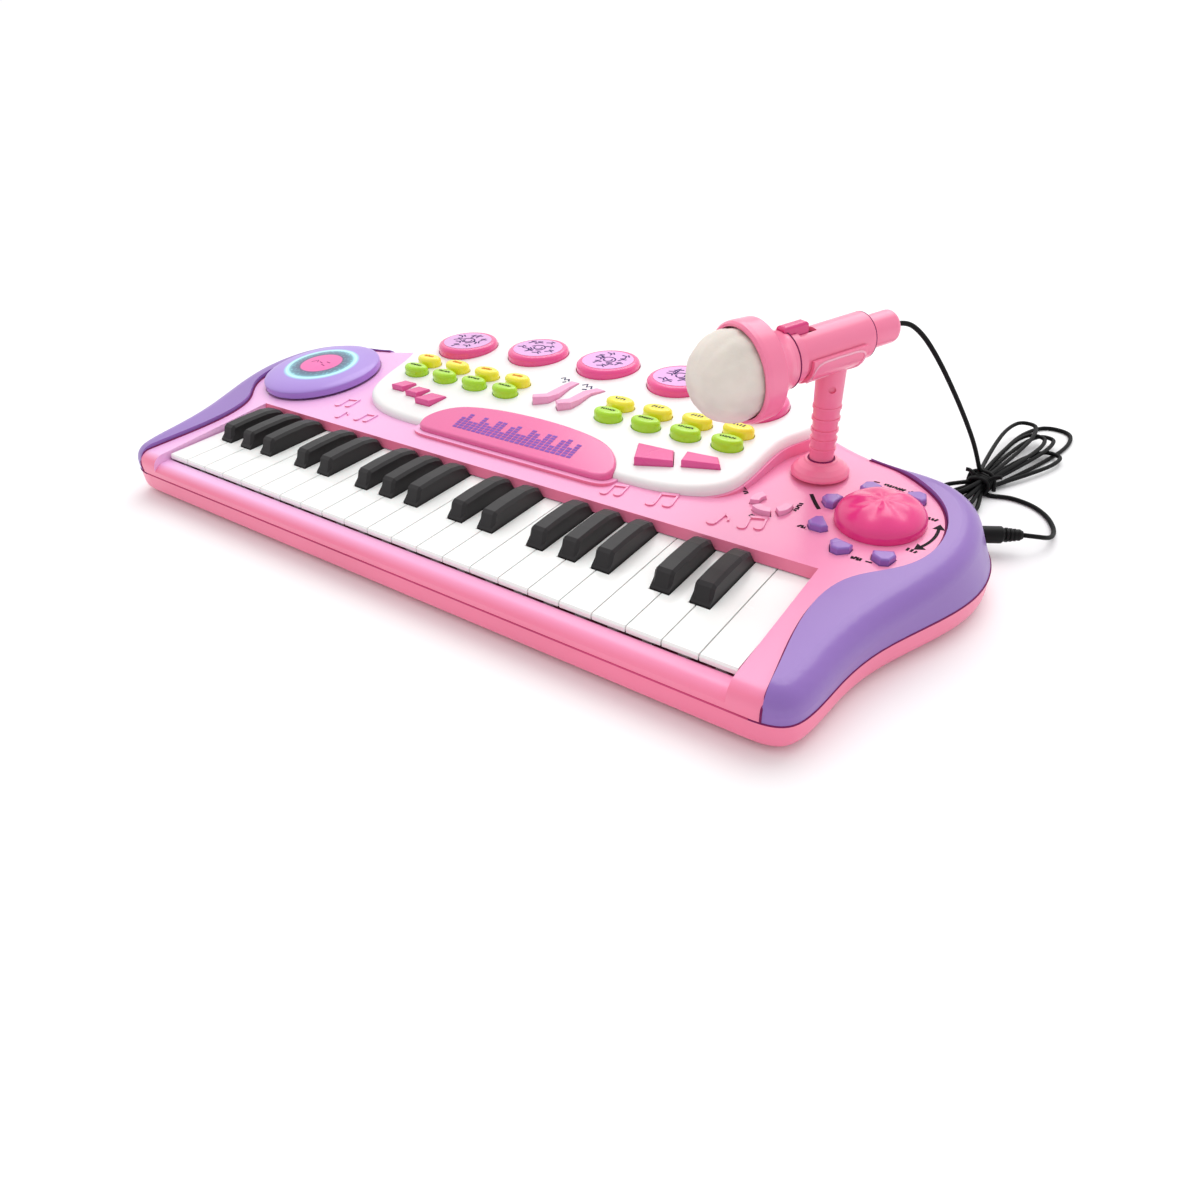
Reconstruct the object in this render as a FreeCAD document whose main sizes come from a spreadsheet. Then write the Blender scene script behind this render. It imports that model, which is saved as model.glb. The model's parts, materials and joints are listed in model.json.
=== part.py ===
import FreeCAD, Part
import math
import os
from FreeCAD import Placement, Rotation, Vector

# Toy electronic keyboard with a microphone.  Millimetres, +Z up, player on the -Y side.
# Origin: on the table, under the centre of the case.

SIZES = [
    # case
    ("front_edge", -118.0),        # front face of the case
    ("rear_edge", 118.0),
    ("lobe_half", 252.5),          # half the width over the round ends
    ("lobe_lean", 9.0),            # how far the round ends lean in from the seam to the top
    ("waist_half", 225.5),
    ("seam_height", 15.0),
    ("shell_bottom", 2.0),
    ("wall", 2.5),
    ("deck_height", 33.86),        # top of the pink shell at y = 0
    ("deck_slope", 0.06),          # rise of the shell for each mm towards the back
    ("cheek_rise", 2.6),           # purple ends stand this much over the pink shell
    ("cheek_round", 11.0),
    ("shell_round", 8.0),
    ("foot_radius", 7.0),
    # keys
    ("pitch", 17.5),
    ("key_gap", 0.7),
    ("white_count", 22),
    ("key_top", 26.0),
    ("key_front", -106.0),
    ("lip_thick", 3.0),
    ("black_front", -76.8),
    ("black_width", 9.8),
    ("black_rise", 9.6),
    ("well_back", -34.6),          # wall behind the keys
    ("well_side", 193.4),
    ("hinge_line", 4.0),
    ("hinge_height", 22.0),
    ("rib_width", 5.0),
    # control panel
    ("panel_thick", 5.0),
    ("panel_round", 3.8),
    ("panel_front", -11.0),
    ("button_gap", 0.4),           # gap round each button in its hole
    ("oval_long", 9.0),
    ("oval_short", 5.6),
    ("oval_height", 5.2),
    ("pad_radius", 20.0),
    ("pad_height", 4.5),
    ("press", 2.0),                # travel of the buttons
    # big controls
    ("disc_x", -192.0),
    ("disc_y", 16.0),
    ("disc_long", 40.5),
    ("disc_wide", 37.5),
    ("disc_height", 8.0),
    ("dome_x", 203.0),
    ("dome_y", 15.0),
    ("dome_radius", 21.0),
    ("dome_height", 12.5),
    # microphone and stand
    ("stand_x", 161.0),
    ("stand_y", 43.0),
    ("stand_radius", 14.6),
    ("axis_height", 103.7),        # microphone axis over the stand
    ("mic_heading", -117.5),       # degrees, from +X
    ("mic_dip", 3.45),             # degrees, nose down
    ("barrel_radius", 11.0),
    ("tail_radius", 7.9),
    ("bell_radius", 22.8),
    ("cradle_radius", 13.0),
    ("switch_travel", 4.0),
    # cord
    ("cord_diameter", 2.4),
    ("plug_radius", 4.4),
]

doc = FreeCAD.newDocument("toy_keyboard")
sheet = doc.addObject("Spreadsheet::Sheet", "Sizes")
for row, (alias, value) in enumerate(SIZES, 1):
    sheet.set(f"A{row}", alias)
    sheet.set(f"B{row}", str(value))
    sheet.setAlias(f"B{row}", alias)
doc.recompute()

NODES = []                         # the sub-parts, in the order they are written


def size(alias):
    """A driving dimension, read from the sheet."""
    return float(getattr(sheet, alias))


def node(label, piece, placement=None):
    """Name a finished sub-part and keep it for export."""
    piece.Label = label
    if placement is not None:
        piece.Placement = placement
    NODES.append(piece)
    return piece


def solid_node(label, shape, placement=None):
    """A sub-part whose free-form shape is made directly."""
    piece = doc.addObject("Part::Feature", label)
    piece.Shape = shape
    return node(label, piece, placement)


def bound(kind, name, rules, place=("0", "0", "0")):
    """A Part primitive whose sizes and place follow the sheet."""
    piece = doc.addObject(f"Part::{kind}", name)
    for prop, rule in rules.items():
        piece.setExpression(prop, str(rule))
    for axis, rule in zip("xyz", place):
        piece.setExpression(f"Placement.Base.{axis}", str(rule))
    return piece


def fused(name, pieces):
    joined = doc.addObject("Part::MultiFuse", name)
    joined.Shapes = pieces
    return joined


def cut(name, base, tool):
    piece = doc.addObject("Part::Cut", name)
    piece.Base = base
    piece.Tool = tool
    return piece


# ---------------------------------------------------------------- plan outlines

def spline(poles):
    """Smooth curve drawn by its control polygon; it leaves each end along the first leg."""
    curve = Part.BSplineCurve()
    curve.buildFromPoles(poles, False, 3)
    return curve.toShape()


def symmetric_outline(half):
    """Closed plan: a straight front edge, the curved right half, and its mirror image."""
    right = spline([Vector(x, y, 0) for x, y in half])
    left = right.mirror(Vector(0, 0, 0), Vector(1, 0, 0))
    ends = [Vector(-half[0][0], half[0][1], 0), Vector(half[0][0], half[0][1], 0)]
    return Part.Wire([right, left, Part.makeLine(*ends)])


def case_outline(inset=0.0, lean=0.0):
    """Plan of the whole case: straight front, waisted sides, round ends that may lean in, arched back."""
    front = size("front_edge") + inset
    rear = size("rear_edge") - inset
    lobe = size("lobe_half") - inset
    waist = size("waist_half") - inset
    return symmetric_outline([
        (waist - 23, front), (waist - 9, front), (waist - 2, front + 10), (waist - 1, front + 38),
        (waist + 4, front + 64), (lobe - 10 - 0.4 * lean, -26), (lobe + 4 - lean, 8), (lobe - 1 - lean, 46),
        (lobe - 25 - lean, 71 - inset - 0.4 * lean), (lobe - 62, 70 - inset - 0.3 * lean),
        (lobe - 92, rear - 38), (lobe - 120, rear - 20),
        (92, rear - 6), (40, rear), (0, rear),
    ])


def cheek_boundary(shift=Vector(0, 0, 0)):
    """Region outside the line where purple meets pink, at the right-hand end."""
    line = [(209, -128), (208, -108), (203, -84), (201, -56), (207, -34), (224, -21), (233, -5), (234, 17),
            (227, 38), (210, 55), (191, 65), (179, 66.5)]
    line = [Vector(x, y, 0) + shift for x, y in line]
    far = [line[-1], Vector(176, 95, 0) + shift, Vector(300, 95, 0), Vector(300, -128, 0), line[0]]
    return Part.Wire([spline(line)] + [Part.makeLine(a, b) for a, b in zip(far, far[1:])])


def panel_outline(grow=0.0):
    """Plan of the white control panel."""
    front = size("panel_front") - grow
    return symmetric_outline([
        (80, front), (101, front), (127 + grow, -3 - grow), (135 + grow, 12), (136 + grow, 34),
        (138 + grow, 52), (152 + grow, 68 + grow), (138 + grow, 86 + grow), (100, 101 + grow),
        (40, 111 + grow), (0, 111 + grow),
    ])


def display_outline(grow=0.0):
    """Plan of the window: straight front edge, blunt ends, arched back edge."""
    front = -17.5 - grow
    return symmetric_outline([
        (58, front), (66 + grow, front), (70 + grow, -13.5), (69 + grow, -5), (58 + grow, 7 + grow),
        (38, 12.5 + grow), (15, 14.5 + grow), (0, 14.5 + grow),
    ])


# ---------------------------------------------------------------- shell shapes

def prism(wire, bottom, top):
    face = Part.Face(wire)
    face.translate(Vector(0, 0, bottom))
    return face.extrude(Vector(0, 0, top - bottom))


def deck(y, rise=0.0):
    """Height of the pink shell's top at y."""
    return size("deck_height") + size("deck_slope") * y + rise


def below_deck(rise):
    """Everything under the sloping top plane."""
    reach = 300
    corners = [Vector(-reach, y, z) for y, z in
               ((-reach, -50), (reach, -50), (reach, deck(reach, rise)), (-reach, deck(-reach, rise)))]
    return Part.Face(Part.makePolygon(corners + corners[:1])).extrude(Vector(2 * reach, 0, 0))


def blank(rise, radius, inset=0.0):
    """The upper case as a full block: outline, sloping top, rounded top edge."""
    seam = size("seam_height")
    low = case_outline(inset)
    low.translate(Vector(0, 0, seam))
    high = case_outline(inset, 2 * size("lobe_lean"))
    high.translate(Vector(0, 0, seam + 44))
    block = Part.makeLoft([low, high], True).common(below_deck(rise)).Solids[0]
    top_edges = [edge for edge in block.Edges if edge.BoundBox.ZMin > size("seam_height") + 5]
    return block.makeFillet(radius, top_edges)


def flipped(shape):
    return shape.mirror(Vector(0, 0, 0), Vector(1, 0, 0))


def both_ends(shape):
    return shape.fuse(flipped(shape))


def panel_arc(drop=0.0):
    """Profile of the panel's top, front to back: it climbs, then levels out."""
    return [Vector(0, y, z - drop) for y, z in ((-40, 28.0), (34, 46.0), (125, 49.8))]


def below_panel(drop=0.0, floor=10.0):
    points = panel_arc(drop)
    arc = Part.Arc(*points).toShape()
    low = [points[2], Vector(0, points[2].y, floor), Vector(0, points[0].y, floor), points[0]]
    sides = [Part.makeLine(a, b) for a, b in zip(low, low[1:])]
    profile = Part.Face(Part.Wire([arc] + sides))
    profile.translate(Vector(-200, 0, 0))
    return profile.extrude(Vector(400, 0, 0))


def panel_height(y, drop=0.0):
    """Height of the panel's top at y."""
    circle = Part.Arc(*panel_arc(drop)).toShape().Curve
    return circle.Center.z + math.sqrt(circle.Radius ** 2 - (y - circle.Center.y) ** 2)


def hull_bar(ends, radius, bottom, top):
    """Upright bar with round ends between two plan points."""
    a, b = (Vector(x, y, 0) for x, y in ends)
    along = (b - a).normalize()
    side = Vector(-along.y, along.x, 0) * radius
    wire = Part.Wire([
        Part.makeLine(a - side, b - side),
        Part.Arc(b - side, b + along * radius, b + side).toShape(),
        Part.makeLine(b + side, a + side),
        Part.Arc(a + side, a - along * radius, a - side).toShape(),
    ])
    return prism(wire, bottom, top)


def polygon_prism(points, bottom, top):
    corners = [Vector(x, y, 0) for x, y in points]
    return prism(Part.makePolygon(corners + corners[:1]), bottom, top)


def oval_prism(x, y, long_half, short_half, bottom, top):
    """Upright oval block, longer along X unless short_half is the larger one."""
    if long_half >= short_half:
        ellipse = Part.Ellipse(Vector(x, y, 0), long_half, short_half).toShape()
    else:
        tip = Vector(x, y + short_half, 0)
        ellipse = Part.Ellipse(tip, Vector(x - long_half, y, 0), Vector(x, y, 0)).toShape()
    return prism(Part.Wire([ellipse]), bottom, top)


def softened(shape, radius, above):
    """Round the edges that lie wholly above a height."""
    edges = [edge for edge in shape.Edges if edge.BoundBox.ZMin > above]
    return shape.makeFillet(radius, edges)


# ---------------------------------------------------------------- where the controls stand

OVAL_COLUMNS = [side * (38.3 + 25.2 * k) for side in (-1, 1) for k in range(4)]
GREEN_ROW = 31.0
YELLOW_ROW = 43.6
PAD_CENTRES = [(-107, 74.5), (-54, 84.5), (0, 87), (54, 84.5), (107, 74.5)]
SLANTED = [(-109.0, 14.0, 1.0), (-94.5, 11.5, 1.0), (-80.0, 8.0, 1.25)]   # x, y, relative size
TRAPEZOIDS = [
    [(76.5, -1), (69, 15), (90.5, 16), (96.5, 5)],
    [(100.5, 6.5), (98, 17), (115.5, 18.5), (120.5, 11.5)],
]
WAVES = [
    [(-8, 58.5), (-2, 58.5), (-3, 49.5), (-2.5, 38.5), (-5, 31.5), (-13, 26.5), (-16, 30.5), (-9.5, 35.5),
     (-9, 49.5)],
    [(12.5, 57), (19, 56), (14, 48), (13.5, 37), (12, 31), (5.5, 26.5), (1.5, 30), (7, 36), (7.5, 49)],
]
WAVE_STEMS = [(-5.8, 51.5), (11.2, 50)]
CRESCENT_CENTRE = (152.8, 4.5)
CRESCENT_TURNS = (170, 262, 345)
# Small buttons round the dome: turn from +X, distance from the middle of the dome.
PURPLE_PLACES = [(170, 26.5), (217, 29.5), (256, 31.5), (293, 32.0), (70, 26.5), (120, 27.5)]
SCREW_PLACES = [(-175, -100), (175, -100), (-145, 45), (205, 40), (-120, 20), (120, 20), (-60, 100), (60, 100)]
FOOT_PLACES = [(-195, -95), (195, -95), (-150, 66), (150, 66)]
SPEAKER_PLACE = (-196, 37)
BAY = (-36, 36, 42, 104)           # battery bay: x from, x to, y from, y to
RAIL_HALF = 192.0                  # rail that the rear ends of the keys sit over
RAIL_TOP = 18.6


def slanted_points(x, y, scale, grow=0.0):
    """Small parallelogram key."""
    long_side = 6.5 * scale + grow
    short_side = 3 * scale + grow
    half_depth = 4.5 * scale + grow
    return [(x - long_side, y - half_depth), (x + short_side, y - half_depth),
            (x + long_side, y + half_depth), (x - short_side, y + half_depth)]


def grown(points, gap):
    """The same convex outline moved out by a gap."""
    face = Part.Face(Part.makePolygon([Vector(x, y, 0) for x, y in points + points[:1]]))
    ring = face.OuterWire.makeOffset2D(gap)
    return ring


def crescent(turn, bottom, top, grow=0.0):
    """Short arc-shaped button, one of three round a small circle."""
    inner = 6.0 - grow
    outer = 10.5 + grow
    half = math.radians(30) + grow / 8
    middle = math.radians(turn)
    x, y = CRESCENT_CENTRE

    def at(radius, angle):
        return Vector(x + radius * math.cos(angle), y + radius * math.sin(angle), 0)

    wire = Part.Wire([
        Part.Arc(at(outer, middle - half), at(outer, middle), at(outer, middle + half)).toShape(),
        Part.makeLine(at(outer, middle + half), at(inner, middle + half)),
        Part.Arc(at(inner, middle + half), at(inner, middle), at(inner, middle - half)).toShape(),
        Part.makeLine(at(inner, middle - half), at(outer, middle - half)),
    ])
    return prism(wire, bottom, top)


def round_dome(turn, radius, sideways=0.0):
    """Plan point at a turn and a distance from the middle of the dome."""
    middle = math.radians(turn)
    x = size("dome_x") + radius * math.cos(middle) - sideways * math.sin(middle)
    y = size("dome_y") + radius * math.sin(middle) + sideways * math.cos(middle)
    return x, y


def purple_button(turn, reach, bottom, top, grow=0.0):
    """Rounded wedge, wide side towards the dome."""
    near = reach - 3.9 - grow
    far = reach + 3.9 + grow
    shoulder = reach - 0.4
    corners = [round_dome(turn, *place) for place in (
        (near, -4.6 - grow), (shoulder, -5.2 - grow), (far, -1.8 - grow / 2),
        (far, 1.8 + grow / 2), (shoulder, 5.2 + grow), (near, 4.6 + grow))]
    return polygon_prism(corners, bottom, top)


# ---------------------------------------------------------------- keys

def plane_of(body, role):
    return next(item for item in body.Origin.OriginFeatures if item.Role == role)


def closed_sketch(body, name, plane, points):
    """Straight-sided closed profile on one of the body's own planes."""
    sketch = body.newObject("Sketcher::SketchObject", name)
    sketch.AttachmentSupport = [(plane_of(body, plane), "")]
    sketch.MapMode = "FlatFace"
    ring = points[1:] + points[:1]
    for (ax, ay), (bx, by) in zip(points, ring):
        sketch.addGeometry(Part.LineSegment(Vector(ax, ay, 0), Vector(bx, by, 0)), False)
    return sketch


def padded(body, name, profile, width_rule):
    pad = body.newObject("PartDesign::Pad", name)
    pad.Profile = profile
    pad.SideType = "Symmetric"
    pad.setExpression("Length", width_rule)
    return pad


def notched(body, name, profile):
    """Cut straight through the key, up and down."""
    pocket = body.newObject("PartDesign::Pocket", name)
    pocket.Profile = profile
    pocket.Type = "ThroughAll"
    pocket.SideType = "Symmetric"
    return pocket


HINGE_RADIUS = 3.0
SHARPS = {1: -0.1, 2: 0.0, 3: 0.1, 5: -0.08, 6: 0.08}


def sharp_offsets():
    """Gap number (between white keys) to how far its black key sits off the gap, in pitches."""
    return {gap + 7 * octave: offset for octave in range(3) for gap, offset in SHARPS.items()}


def rib_profile(front):
    """Stiffening rib under a key, running back to the hinge line."""
    seat_y = size("hinge_line")
    under = size("key_top") - size("lip_thick")
    return [(front, under + 0.5), (front, under - 5), (front + 6, under - 6),
            (seat_y, size("hinge_height") - HINGE_RADIUS), (seat_y, under + 0.5)]


def hinge_boss(body, name):
    """Round boss at the rear of a key, on the line that it turns about."""
    sketch = body.newObject("Sketcher::SketchObject", name)
    sketch.AttachmentSupport = [(plane_of(body, "YZ_Plane"), "")]
    sketch.MapMode = "FlatFace"
    centre = Vector(size("hinge_line"), size("hinge_height"), 0)
    sketch.addGeometry(Part.Circle(centre, Vector(0, 0, 1), HINGE_RADIUS), False)
    padded(body, f"{name}Pad", sketch, "Sizes.rib_width")


def white_key(index):
    """White key number index from the left, with room cut out for its black neighbours."""
    body = doc.addObject("PartDesign::Body", f"White{index:02d}")
    top = size("key_top")
    front = size("key_front")
    rear = size("hinge_line") + 3
    lip = size("lip_thick")
    plate = closed_sketch(body, f"WhiteSide{index:02d}", "YZ_Plane", [
        (front, top - lip), (front, top - 1.0), (front + 0.8, top), (rear, top), (rear, top - lip)])
    padded(body, f"WhitePlate{index:02d}", plate, "Sizes.pitch - Sizes.key_gap")
    rib = closed_sketch(body, f"WhiteRib{index:02d}", "YZ_Plane", rib_profile(front + 3))
    padded(body, f"WhiteRibPad{index:02d}", rib, "Sizes.rib_width")
    hinge_boss(body, f"WhiteBoss{index:02d}")
    half = size("pitch") / 2
    room = size("black_width") / 2 + 0.5
    for side in (-1, 1):
        gap = index + (0 if side < 0 else 1)
        if gap not in sharp_offsets():
            continue
        inner = side * half + sharp_offsets()[gap] * size("pitch") - side * room
        start = size("black_front") - 0.6
        notch = closed_sketch(body, f"Notch{index:02d}{'LR'[side > 0]}", "XY_Plane", [
            (inner, start), (side * (half + 1), start), (side * (half + 1), rear + 1), (inner, rear + 1)])
        notched(body, f"NotchCut{index:02d}{'LR'[side > 0]}", notch)
    body.setExpression("Placement.Base.x", f"({index} - (Sizes.white_count - 1) / 2) * Sizes.pitch")
    return node(f"white_key_{index + 1:02d}", body)


def black_key(number, gap, offset):
    """Black key: arched top, sloped front, bevelled sides."""
    body = doc.addObject("PartDesign::Body", f"Black{number:02d}")
    top = size("key_top")
    front = size("black_front")
    rise = size("black_rise")
    back = size("well_back") - 0.8
    foot = top - 2.0
    side = closed_sketch(body, f"BlackSide{number:02d}", "YZ_Plane", [
        (front, foot), (front, top + 0.8), (front + 0.9, top + 1.6), (front + 3.6, top + rise - 1.6),
        (front + 5.6, top + rise - 0.4), (front + 16, top + rise), (front + 30, top + rise - 0.2),
        (back - 5, top + rise - 1.4), (back - 1.6, top + rise - 3.0), (back, top + rise - 5.4), (back, foot)])
    hump = padded(body, f"BlackPad{number:02d}", side, "Sizes.black_width")
    doc.recompute()
    ridge = [f"Edge{i}" for i, edge in enumerate(hump.Shape.Edges, 1)
             if abs(abs(edge.CenterOfMass.x) - size("black_width") / 2) < 0.01
             and edge.CenterOfMass.z > top + 3 and edge.BoundBox.YLength > 1 and edge.BoundBox.XLength < 0.01]
    bevel = body.newObject("PartDesign::Chamfer", f"BlackBevel{number:02d}")
    bevel.Base = (hump, ridge)
    bevel.Size = 1.5
    rib = closed_sketch(body, f"BlackRib{number:02d}", "YZ_Plane", rib_profile(front + 3))
    padded(body, f"BlackRibPad{number:02d}", rib, "Sizes.rib_width")
    tail = size("hinge_line") + 3
    arm = closed_sketch(body, f"BlackArm{number:02d}", "YZ_Plane", [
        (back - 4, top - 3), (back - 4, top - 0.2), (tail, top - 0.2), (tail, top - 3)])
    padded(body, f"BlackArmPad{number:02d}", arm, "Sizes.black_width")
    hinge_boss(body, f"BlackBoss{number:02d}")
    body.setExpression("Placement.Base.x", f"({gap} - Sizes.white_count / 2 + {offset}) * Sizes.pitch")
    return node(f"black_key_{number:02d}", body)


def make_keys():
    for index in range(int(size("white_count"))):
        white_key(index)
    for number, (gap, offset) in enumerate(sorted(sharp_offsets().items()), 1):
        black_key(number, gap, offset)


# ---------------------------------------------------------------- case

def control_stems(grow=0.0):
    """Upright space of every control that passes through the panel."""
    spaces = [oval_prism(x, row, size("oval_long") + grow, size("oval_short") + grow, 20, 60)
              for row in (GREEN_ROW, YELLOW_ROW) for x in OVAL_COLUMNS]
    spaces += [Part.makeCylinder(size("pad_radius") + grow, 45, Vector(x, y, 20)) for x, y in PAD_CENTRES]
    spaces += [polygon_prism(slanted_points(*place, grow), 20, 60) for place in SLANTED]
    spaces += [prism(grown(points, grow), 20, 60) for points in TRAPEZOIDS + WAVES]
    return spaces


def shell_stems(grow=0.0):
    """Upright space of the controls that pass through the pink shell."""
    spaces = [crescent(turn, 20, 60, grow) for turn in CRESCENT_TURNS]
    spaces += [purple_button(turn, reach, 20, 60, grow) for turn, reach in PURPLE_PLACES]
    return spaces


def tilted(x, y, rise=0.0):
    """Place on the shell's deck, square to it."""
    angle = math.degrees(math.atan(size("deck_slope")))
    return Placement(Vector(x, y, deck(y, rise)), Rotation(Vector(1, 0, 0), angle))


def disc_seat(grow, bottom, top, drop=0.0):
    seat = oval_prism(0, 0, size("disc_wide") + grow, size("disc_long") + grow, bottom, top)
    seat.Placement = tilted(size("disc_x"), size("disc_y"), drop)
    return seat


def jack_hole(radius, length):
    start, along = plug_line()
    return Part.makeCylinder(radius, length, start - along * 12, along)


def plug_line():
    """Where the plug meets the case, and the direction it points away."""
    return Vector(226.2, 62.7, 10.0), Vector(0.878, 0.479, 0)


def make_top_case():
    well_side = size("well_side")
    well_back = size("well_back")
    wall = size("wall")
    rail_back = size("key_front") - 0.8
    outside = both_ends(prism(cheek_boundary(), 0, 90))
    shell = blank(0, size("shell_round")).cut(outside)
    # raised step that carries the panel
    step = prism(panel_outline(1.4), 20, 70).common(below_panel(size("panel_thick")))
    lip = prism(display_outline(3.4), 30, 34.4)
    shell = shell.fuse(step).fuse(lip)
    # hollow inside, leaving the rail, the side walls of the key well and the wall behind the keys
    inside = blank(-wall, 5.5, wall)
    inside = inside.cut(both_ends(prism(cheek_boundary(Vector(-wall, -wall / 2, 0)), 0, 90)))
    inside = inside.common(Part.makeBox(600, 400, 100, Vector(-300, rail_back, 0)))
    ribs = both_ends(Part.makeBox(wall, 90, 60, Vector(well_side, rail_back, 0)))
    lean = 2.0 / 6.7
    foot, head = size("key_top") + 0.6, size("key_top") + 10.6
    behind = [(well_back, foot), (well_back + wall, foot), (well_back + wall + 10 * lean, head),
              (well_back + 10 * lean, head)]
    bar = Part.Face(Part.makePolygon([Vector(-well_side - wall, y, z) for y, z in behind + behind[:1]]))
    bar = bar.extrude(Vector(2 * (well_side + wall), 0, 0))
    inside = inside.cut(ribs).cut(bar)
    under_panel = prism(panel_outline(-5.0), 10, 70)
    shell = shell.cut(inside).cut(under_panel)
    # key well
    opening = [(rail_back, 0), (rail_back, 80), (well_back + 53.4 * lean, 80),
               (well_back, size("key_top") + 0.6), (well_back, 0)]
    well = Part.Face(Part.makePolygon([Vector(-well_side, y, z) for y, z in opening + opening[:1]]))
    shell = shell.cut(well.extrude(Vector(2 * well_side, 0, 0)))
    # front rail rolls over below the keys
    front = size("front_edge")
    roll = Part.Arc(Vector(-well_side, front - 1, 16.5), Vector(-well_side, front + 2.2, 21),
                    Vector(-well_side, front + 7.5, 22.4)).toShape()
    over = [Vector(-well_side, front + 7.5, 22.4), Vector(-well_side, rail_back + 0.5, 22.4),
            Vector(-well_side, rail_back + 0.5, 40), Vector(-well_side, front - 1, 40),
            Vector(-well_side, front - 1, 16.5)]
    trim = Part.Wire([roll] + [Part.makeLine(a, b) for a, b in zip(over, over[1:])])
    shell = shell.cut(Part.Face(trim).extrude(Vector(2 * well_side, 0, 0)))
    # seats of the panel, the display, the disc and the dome, and holes for the small buttons
    shell = shell.cut(prism(panel_outline(0.1), 20, 90).cut(below_panel(size("panel_thick"))))
    shell = shell.cut(prism(display_outline(0.2), 31.2, 90))
    shell = shell.cut(disc_seat(-6, -8, 20)).cut(disc_seat(0.5, -1.2, 20))
    well = Part.makeCylinder(9.5, 30, Vector(0, 0, -15))
    well.Placement = tilted(size("dome_x"), size("dome_y")).multiply(well.Placement)
    shell = shell.cut(well)
    for space in shell_stems(size("button_gap")):
        shell = shell.cut(space)
    for x, y in PAD_CENTRES:
        shell = shell.cut(Part.makeCylinder(size("pad_radius") + 0.5, 30, Vector(x, y, 32)))
    shell = shell.cut(Part.makeCylinder(5.2, 30, Vector(size("stand_x"), size("stand_y"), 20)))
    return solid_node("top_case", shell)


def make_cheeks():
    """Purple ends: fat rounded bands wrapped round both ends of the pink shell."""
    wall = size("wall")
    band = prism(cheek_boundary(Vector(0.05, 0, 0)), 0, 90)
    outer = blank(size("cheek_rise"), size("cheek_round")).common(band)
    inner_band = prism(cheek_boundary(Vector(wall, wall / 2, 0)), 0, 90)
    room = blank(size("cheek_rise") - wall, 9, wall).common(inner_band)
    cheek = outer.cut(room)
    return solid_node("end_cheeks", Part.Compound([cheek, flipped(cheek)]))


def make_bottom_case():
    seam = size("seam_height")
    floor = size("shell_bottom")
    wall = size("wall")
    block = prism(case_outline(), floor, seam)
    block = block.makeFillet(5, [e for e in block.Edges if e.BoundBox.ZMax < floor + 1])
    block = block.cut(prism(case_outline(wall), floor + wall, seam + 1))
    feet = [Part.makeCylinder(size("foot_radius"), floor + 0.5, Vector(x, y, 0)) for x, y in FOOT_PLACES]
    posts = [Part.makeCylinder(3.2, seam - floor - 1, Vector(x, y, floor)) for x, y in SCREW_PLACES]
    x_from, x_to, y_from, y_to = BAY
    bay = Part.makeBox(x_to - x_from, y_to - y_from, 19.5, Vector(x_from, y_from, floor))
    rail = Part.makeBox(2 * RAIL_HALF, 3, RAIL_TOP - floor, Vector(-RAIL_HALF, size("hinge_line") - 1.5, floor))
    rail = rail.cut(Part.makeBox(20, 5, 4.5, Vector(-10, size("hinge_line") - 2.5, floor + wall)))
    tray = block.multiFuse(feet + posts + [bay, rail])
    room = Part.makeBox(x_to - x_from - 4, y_to - y_from - 4, 17.5, Vector(x_from + 2, y_from + 2, floor))
    tray = tray.cut(room)
    for x, y in SCREW_PLACES:
        tray = tray.cut(Part.makeCylinder(1.3, seam, Vector(x, y, floor - 1)))
        tray = tray.cut(Part.makeCylinder(2.5, 2.2, Vector(x, y, floor - 1)))
    slot_x, slot_y = SPEAKER_PLACE
    for k in range(-3, 4):
        reach = math.sqrt(23 ** 2 - (6 * k) ** 2)
        ends = ((slot_x - reach, slot_y + 6 * k), (slot_x + reach, slot_y + 6 * k))
        tray = tray.cut(hull_bar(ends, 1.2, floor - 1, floor + wall + 1))
    tray = tray.cut(jack_hole(size("plug_radius") + 0.3, 60))
    return solid_node("bottom_case", tray)


def make_battery_cover():
    x_from, x_to, y_from, y_to = BAY
    plate = {"Length": x_to - x_from - 4.6, "Width": y_to - y_from - 4.6, "Height": "2.2"}
    cover = bound("Box", "CoverPlate", plate, (x_from + 2.3, y_from + 2.3, "Sizes.shell_bottom + 0.1"))
    grip = bound("Box", "CoverGrip", {"Length": "20", "Width": "6", "Height": "1"}, ("-10", y_from + 6, "1.6"))
    return node("battery_cover", cut("CoverCut", cover, grip))


def make_screws():
    pieces = []
    for k, (x, y) in enumerate(SCREW_PLACES):
        head = bound("Cylinder", f"ScrewHead{k}", {"Radius": "2.3", "Height": "1.4"},
                     (x, y, "Sizes.shell_bottom - 0.4"))
        shank = bound("Cylinder", f"ScrewShank{k}", {"Radius": "1.25", "Height": "10"},
                      (x, y, "Sizes.shell_bottom"))
        pieces.append(fused(f"Screw{k}", [head, shank]))
    return node("case_screws", fused("ScrewSet", pieces))


def make_circuit_board():
    board = bound("Box", "KeyBoard", {"Length": "372", "Width": "26", "Height": "1.6"}, ("-186", "-72", "6"))
    control = bound("Box", "ControlBoard", {"Length": "150", "Width": "22", "Height": "1.6"},
                    ("-75", "10", "6"))
    bridge = bound("Box", "Bridge", {"Length": "18", "Width": "60", "Height": "1.6"}, ("-9", "-48", "6"))
    chips = [bound("Box", f"Chip{k}", {"Length": "14", "Width": "9", "Height": "2.2"}, (x, "16", "7.6"))
             for k, x in enumerate((-50, -18, 20, 48))]
    posts = [bound("Cylinder", f"BoardPost{k}", {"Radius": "2", "Height": "1.6"}, (x, y, "4.5"))
             for k, (x, y) in enumerate([(-180, -60), (180, -60), (-60, -60), (60, -60), (-70, 20), (70, 20)])]
    return node("circuit_board", fused("Boards", [board, control, bridge] + chips + posts))


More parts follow.
